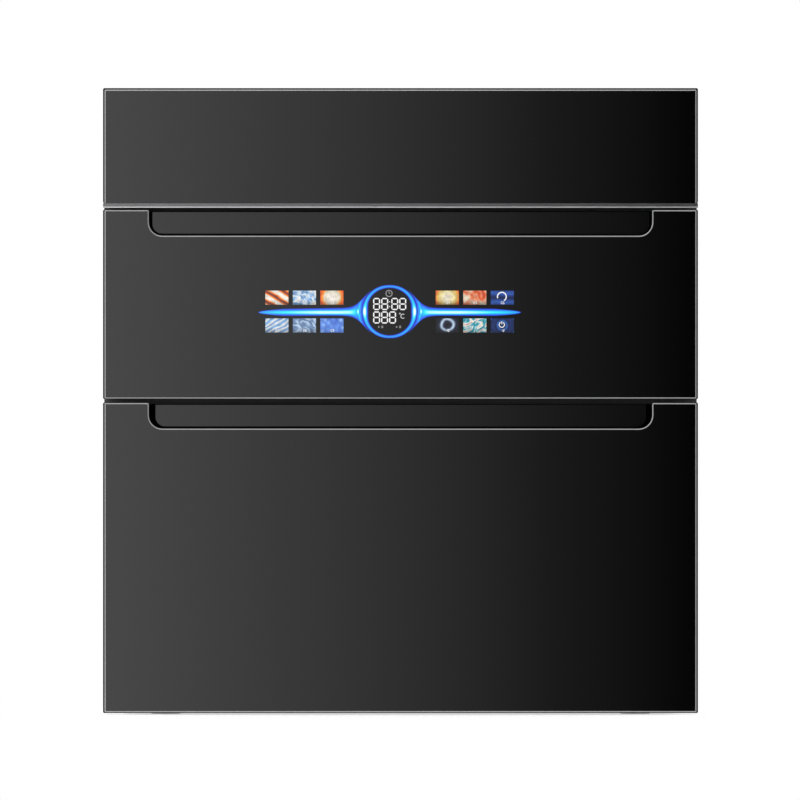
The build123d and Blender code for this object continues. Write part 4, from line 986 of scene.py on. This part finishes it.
# %% [markdown]
# ## The studio
#
# The floor is pale and fades into the background some way off, so no horizon cuts through
# the picture. The world is white where the camera sees it. In front of the glass stands a
# wide soft panel that is bright at its left and dark at its right: the glass mirrors it,
# which gives the long fall-off across the fronts.

# %% Floor and world
floor_half, floor_drop = 3.0, 0.5 * MM
panel_distance, panel_half, panel_low, panel_high = 3.0, 1.5, -1.5, 2.1
panel_ramp_half = 0.33


def stage_sheet(name, corners):
    """One rectangle of the studio."""
    mesh = bpy.data.meshes.new(name)
    mesh.from_pydata(corners, [], [(0, 1, 2, 3)])
    return linked(name, mesh)


floor = stage_sheet("studio_floor", [(-floor_half, -floor_half, 0), (floor_half, -floor_half, 0),
                                     (floor_half, floor_half, 0), (-floor_half, floor_half, 0)])
floor.location.z = -floor_drop
floor.visible_glossy = False
floor_finish, tree, shader = finish("pale_floor", (0.9, 0.9, 0.9), 0.6, Emission_Color=FULL_WHITE,
                                    Emission_Strength=0.45)
place = tree.nodes.new("ShaderNodeTexCoord")
length = tree.nodes.new("ShaderNodeVectorMath")
length.operation = "LENGTH"
tree.links.new(place.outputs["Object"], length.inputs[0])
fade = ramp(tree, length.outputs["Value"], [(0.3, 1.0), (0.55, 0.0)])
tree.links.new(fade, shader.inputs["Alpha"])
floor.data.materials.append(floor_finish)

world = bpy.data.worlds.new("studio")
bpy.context.scene.world = world
world.use_nodes = True
tree = world.node_tree
sky = sockets_of(tree.nodes["Background"], Color=FULL_WHITE, Strength=0.55)
seen = sockets_of(tree.nodes.new("ShaderNodeBackground"), Color=FULL_WHITE, Strength=1.0)
path = tree.nodes.new("ShaderNodeLightPath")
either = tree.nodes.new("ShaderNodeMixShader")
tree.links.new(path.outputs["Is Camera Ray"], either.inputs["Fac"])
tree.links.new(sky.outputs["Background"], either.inputs[1])
tree.links.new(seen.outputs["Background"], either.inputs[2])
tree.links.new(either.outputs["Shader"], tree.nodes["World Output"].inputs["Surface"])

# %% The graded panel in front, and three lamps
panel_y = face_y - panel_distance
panel = stage_sheet("graded_panel", [
    (-panel_half, panel_y, panel_low), (-panel_half, panel_y, panel_high),
    (panel_half, panel_y, panel_high), (panel_half, panel_y, panel_low)])
panel.visible_camera = False
panel.visible_shadow = False
panel_finish = bpy.data.materials.new("graded_light")
panel_finish.use_nodes = True
tree = panel_finish.node_tree
tree.nodes.clear()
place = tree.nodes.new("ShaderNodeTexCoord")
split = tree.nodes.new("ShaderNodeSeparateXYZ")
tree.links.new(place.outputs["Object"], split.inputs["Vector"])
across = sockets_of(tree.nodes.new("ShaderNodeMapRange"), From_Min=-panel_ramp_half,
                    From_Max=panel_ramp_half)
tree.links.new(split.outputs["X"], across.inputs["Value"])
light = sockets_of(tree.nodes.new("ShaderNodeEmission"), Strength=1.6)
grades = [(0.0, 1.0), (0.25, 0.68), (0.5, 0.41), (0.75, 0.14), (1.0, 0.0)]
tree.links.new(ramp(tree, across.outputs["Result"], grades), light.inputs["Color"])
output = tree.nodes.new("ShaderNodeOutputMaterial")
tree.links.new(light.outputs["Emission"], output.inputs["Surface"])
panel.data.materials.append(panel_finish)


def soft_light(name, place, size, power, aim=(0, 0, 0.3)):
    """A square area light at one point, turned towards another, in metres and watts."""
    data = bpy.data.lights.new(name, "AREA")
    data.shape = "SQUARE"
    data.size = size
    data.energy = power
    lamp = linked(name, data)
    lamp.location = place
    x, y, z = np.array(aim) - np.array(place)
    lamp.rotation_euler = (math.atan2(math.hypot(x, y), -z), 0, math.atan2(y, x) - math.pi / 2)


soft_light("top_light", (-0.6, -0.4, 2.6), 1.8, 17)
soft_light("left_light", (-2.6, -0.8, 1.2), 1.4, 9)
soft_light("back_light", (1.2, 2.6, 1.6), 1.6, 20)

# %% [markdown]
# ## The camera
#
# The photograph is square on, with no visible perspective, so a long lens stands well back
# at the height of the picture's middle. One pixel of the 800 is one millimetre at the glass.

# %% Place the camera
camera_distance = 30.0
camera_x, camera_z = -0.0005, 0.3141
picture_width = 0.8
sensor = 36.0
data = bpy.data.cameras.new("camera")
data.sensor_width = sensor
data.lens = sensor * camera_distance / picture_width
data.clip_end = 50
camera = linked("camera", data)
camera.location = (camera_x, face_y - camera_distance, camera_z)
camera.rotation_euler = (math.pi / 2, 0, 0)
bpy.context.scene.camera = camera
bpy.context.scene.view_settings.view_transform = "Standard"
print("lens", round(data.lens, 1), "mm")
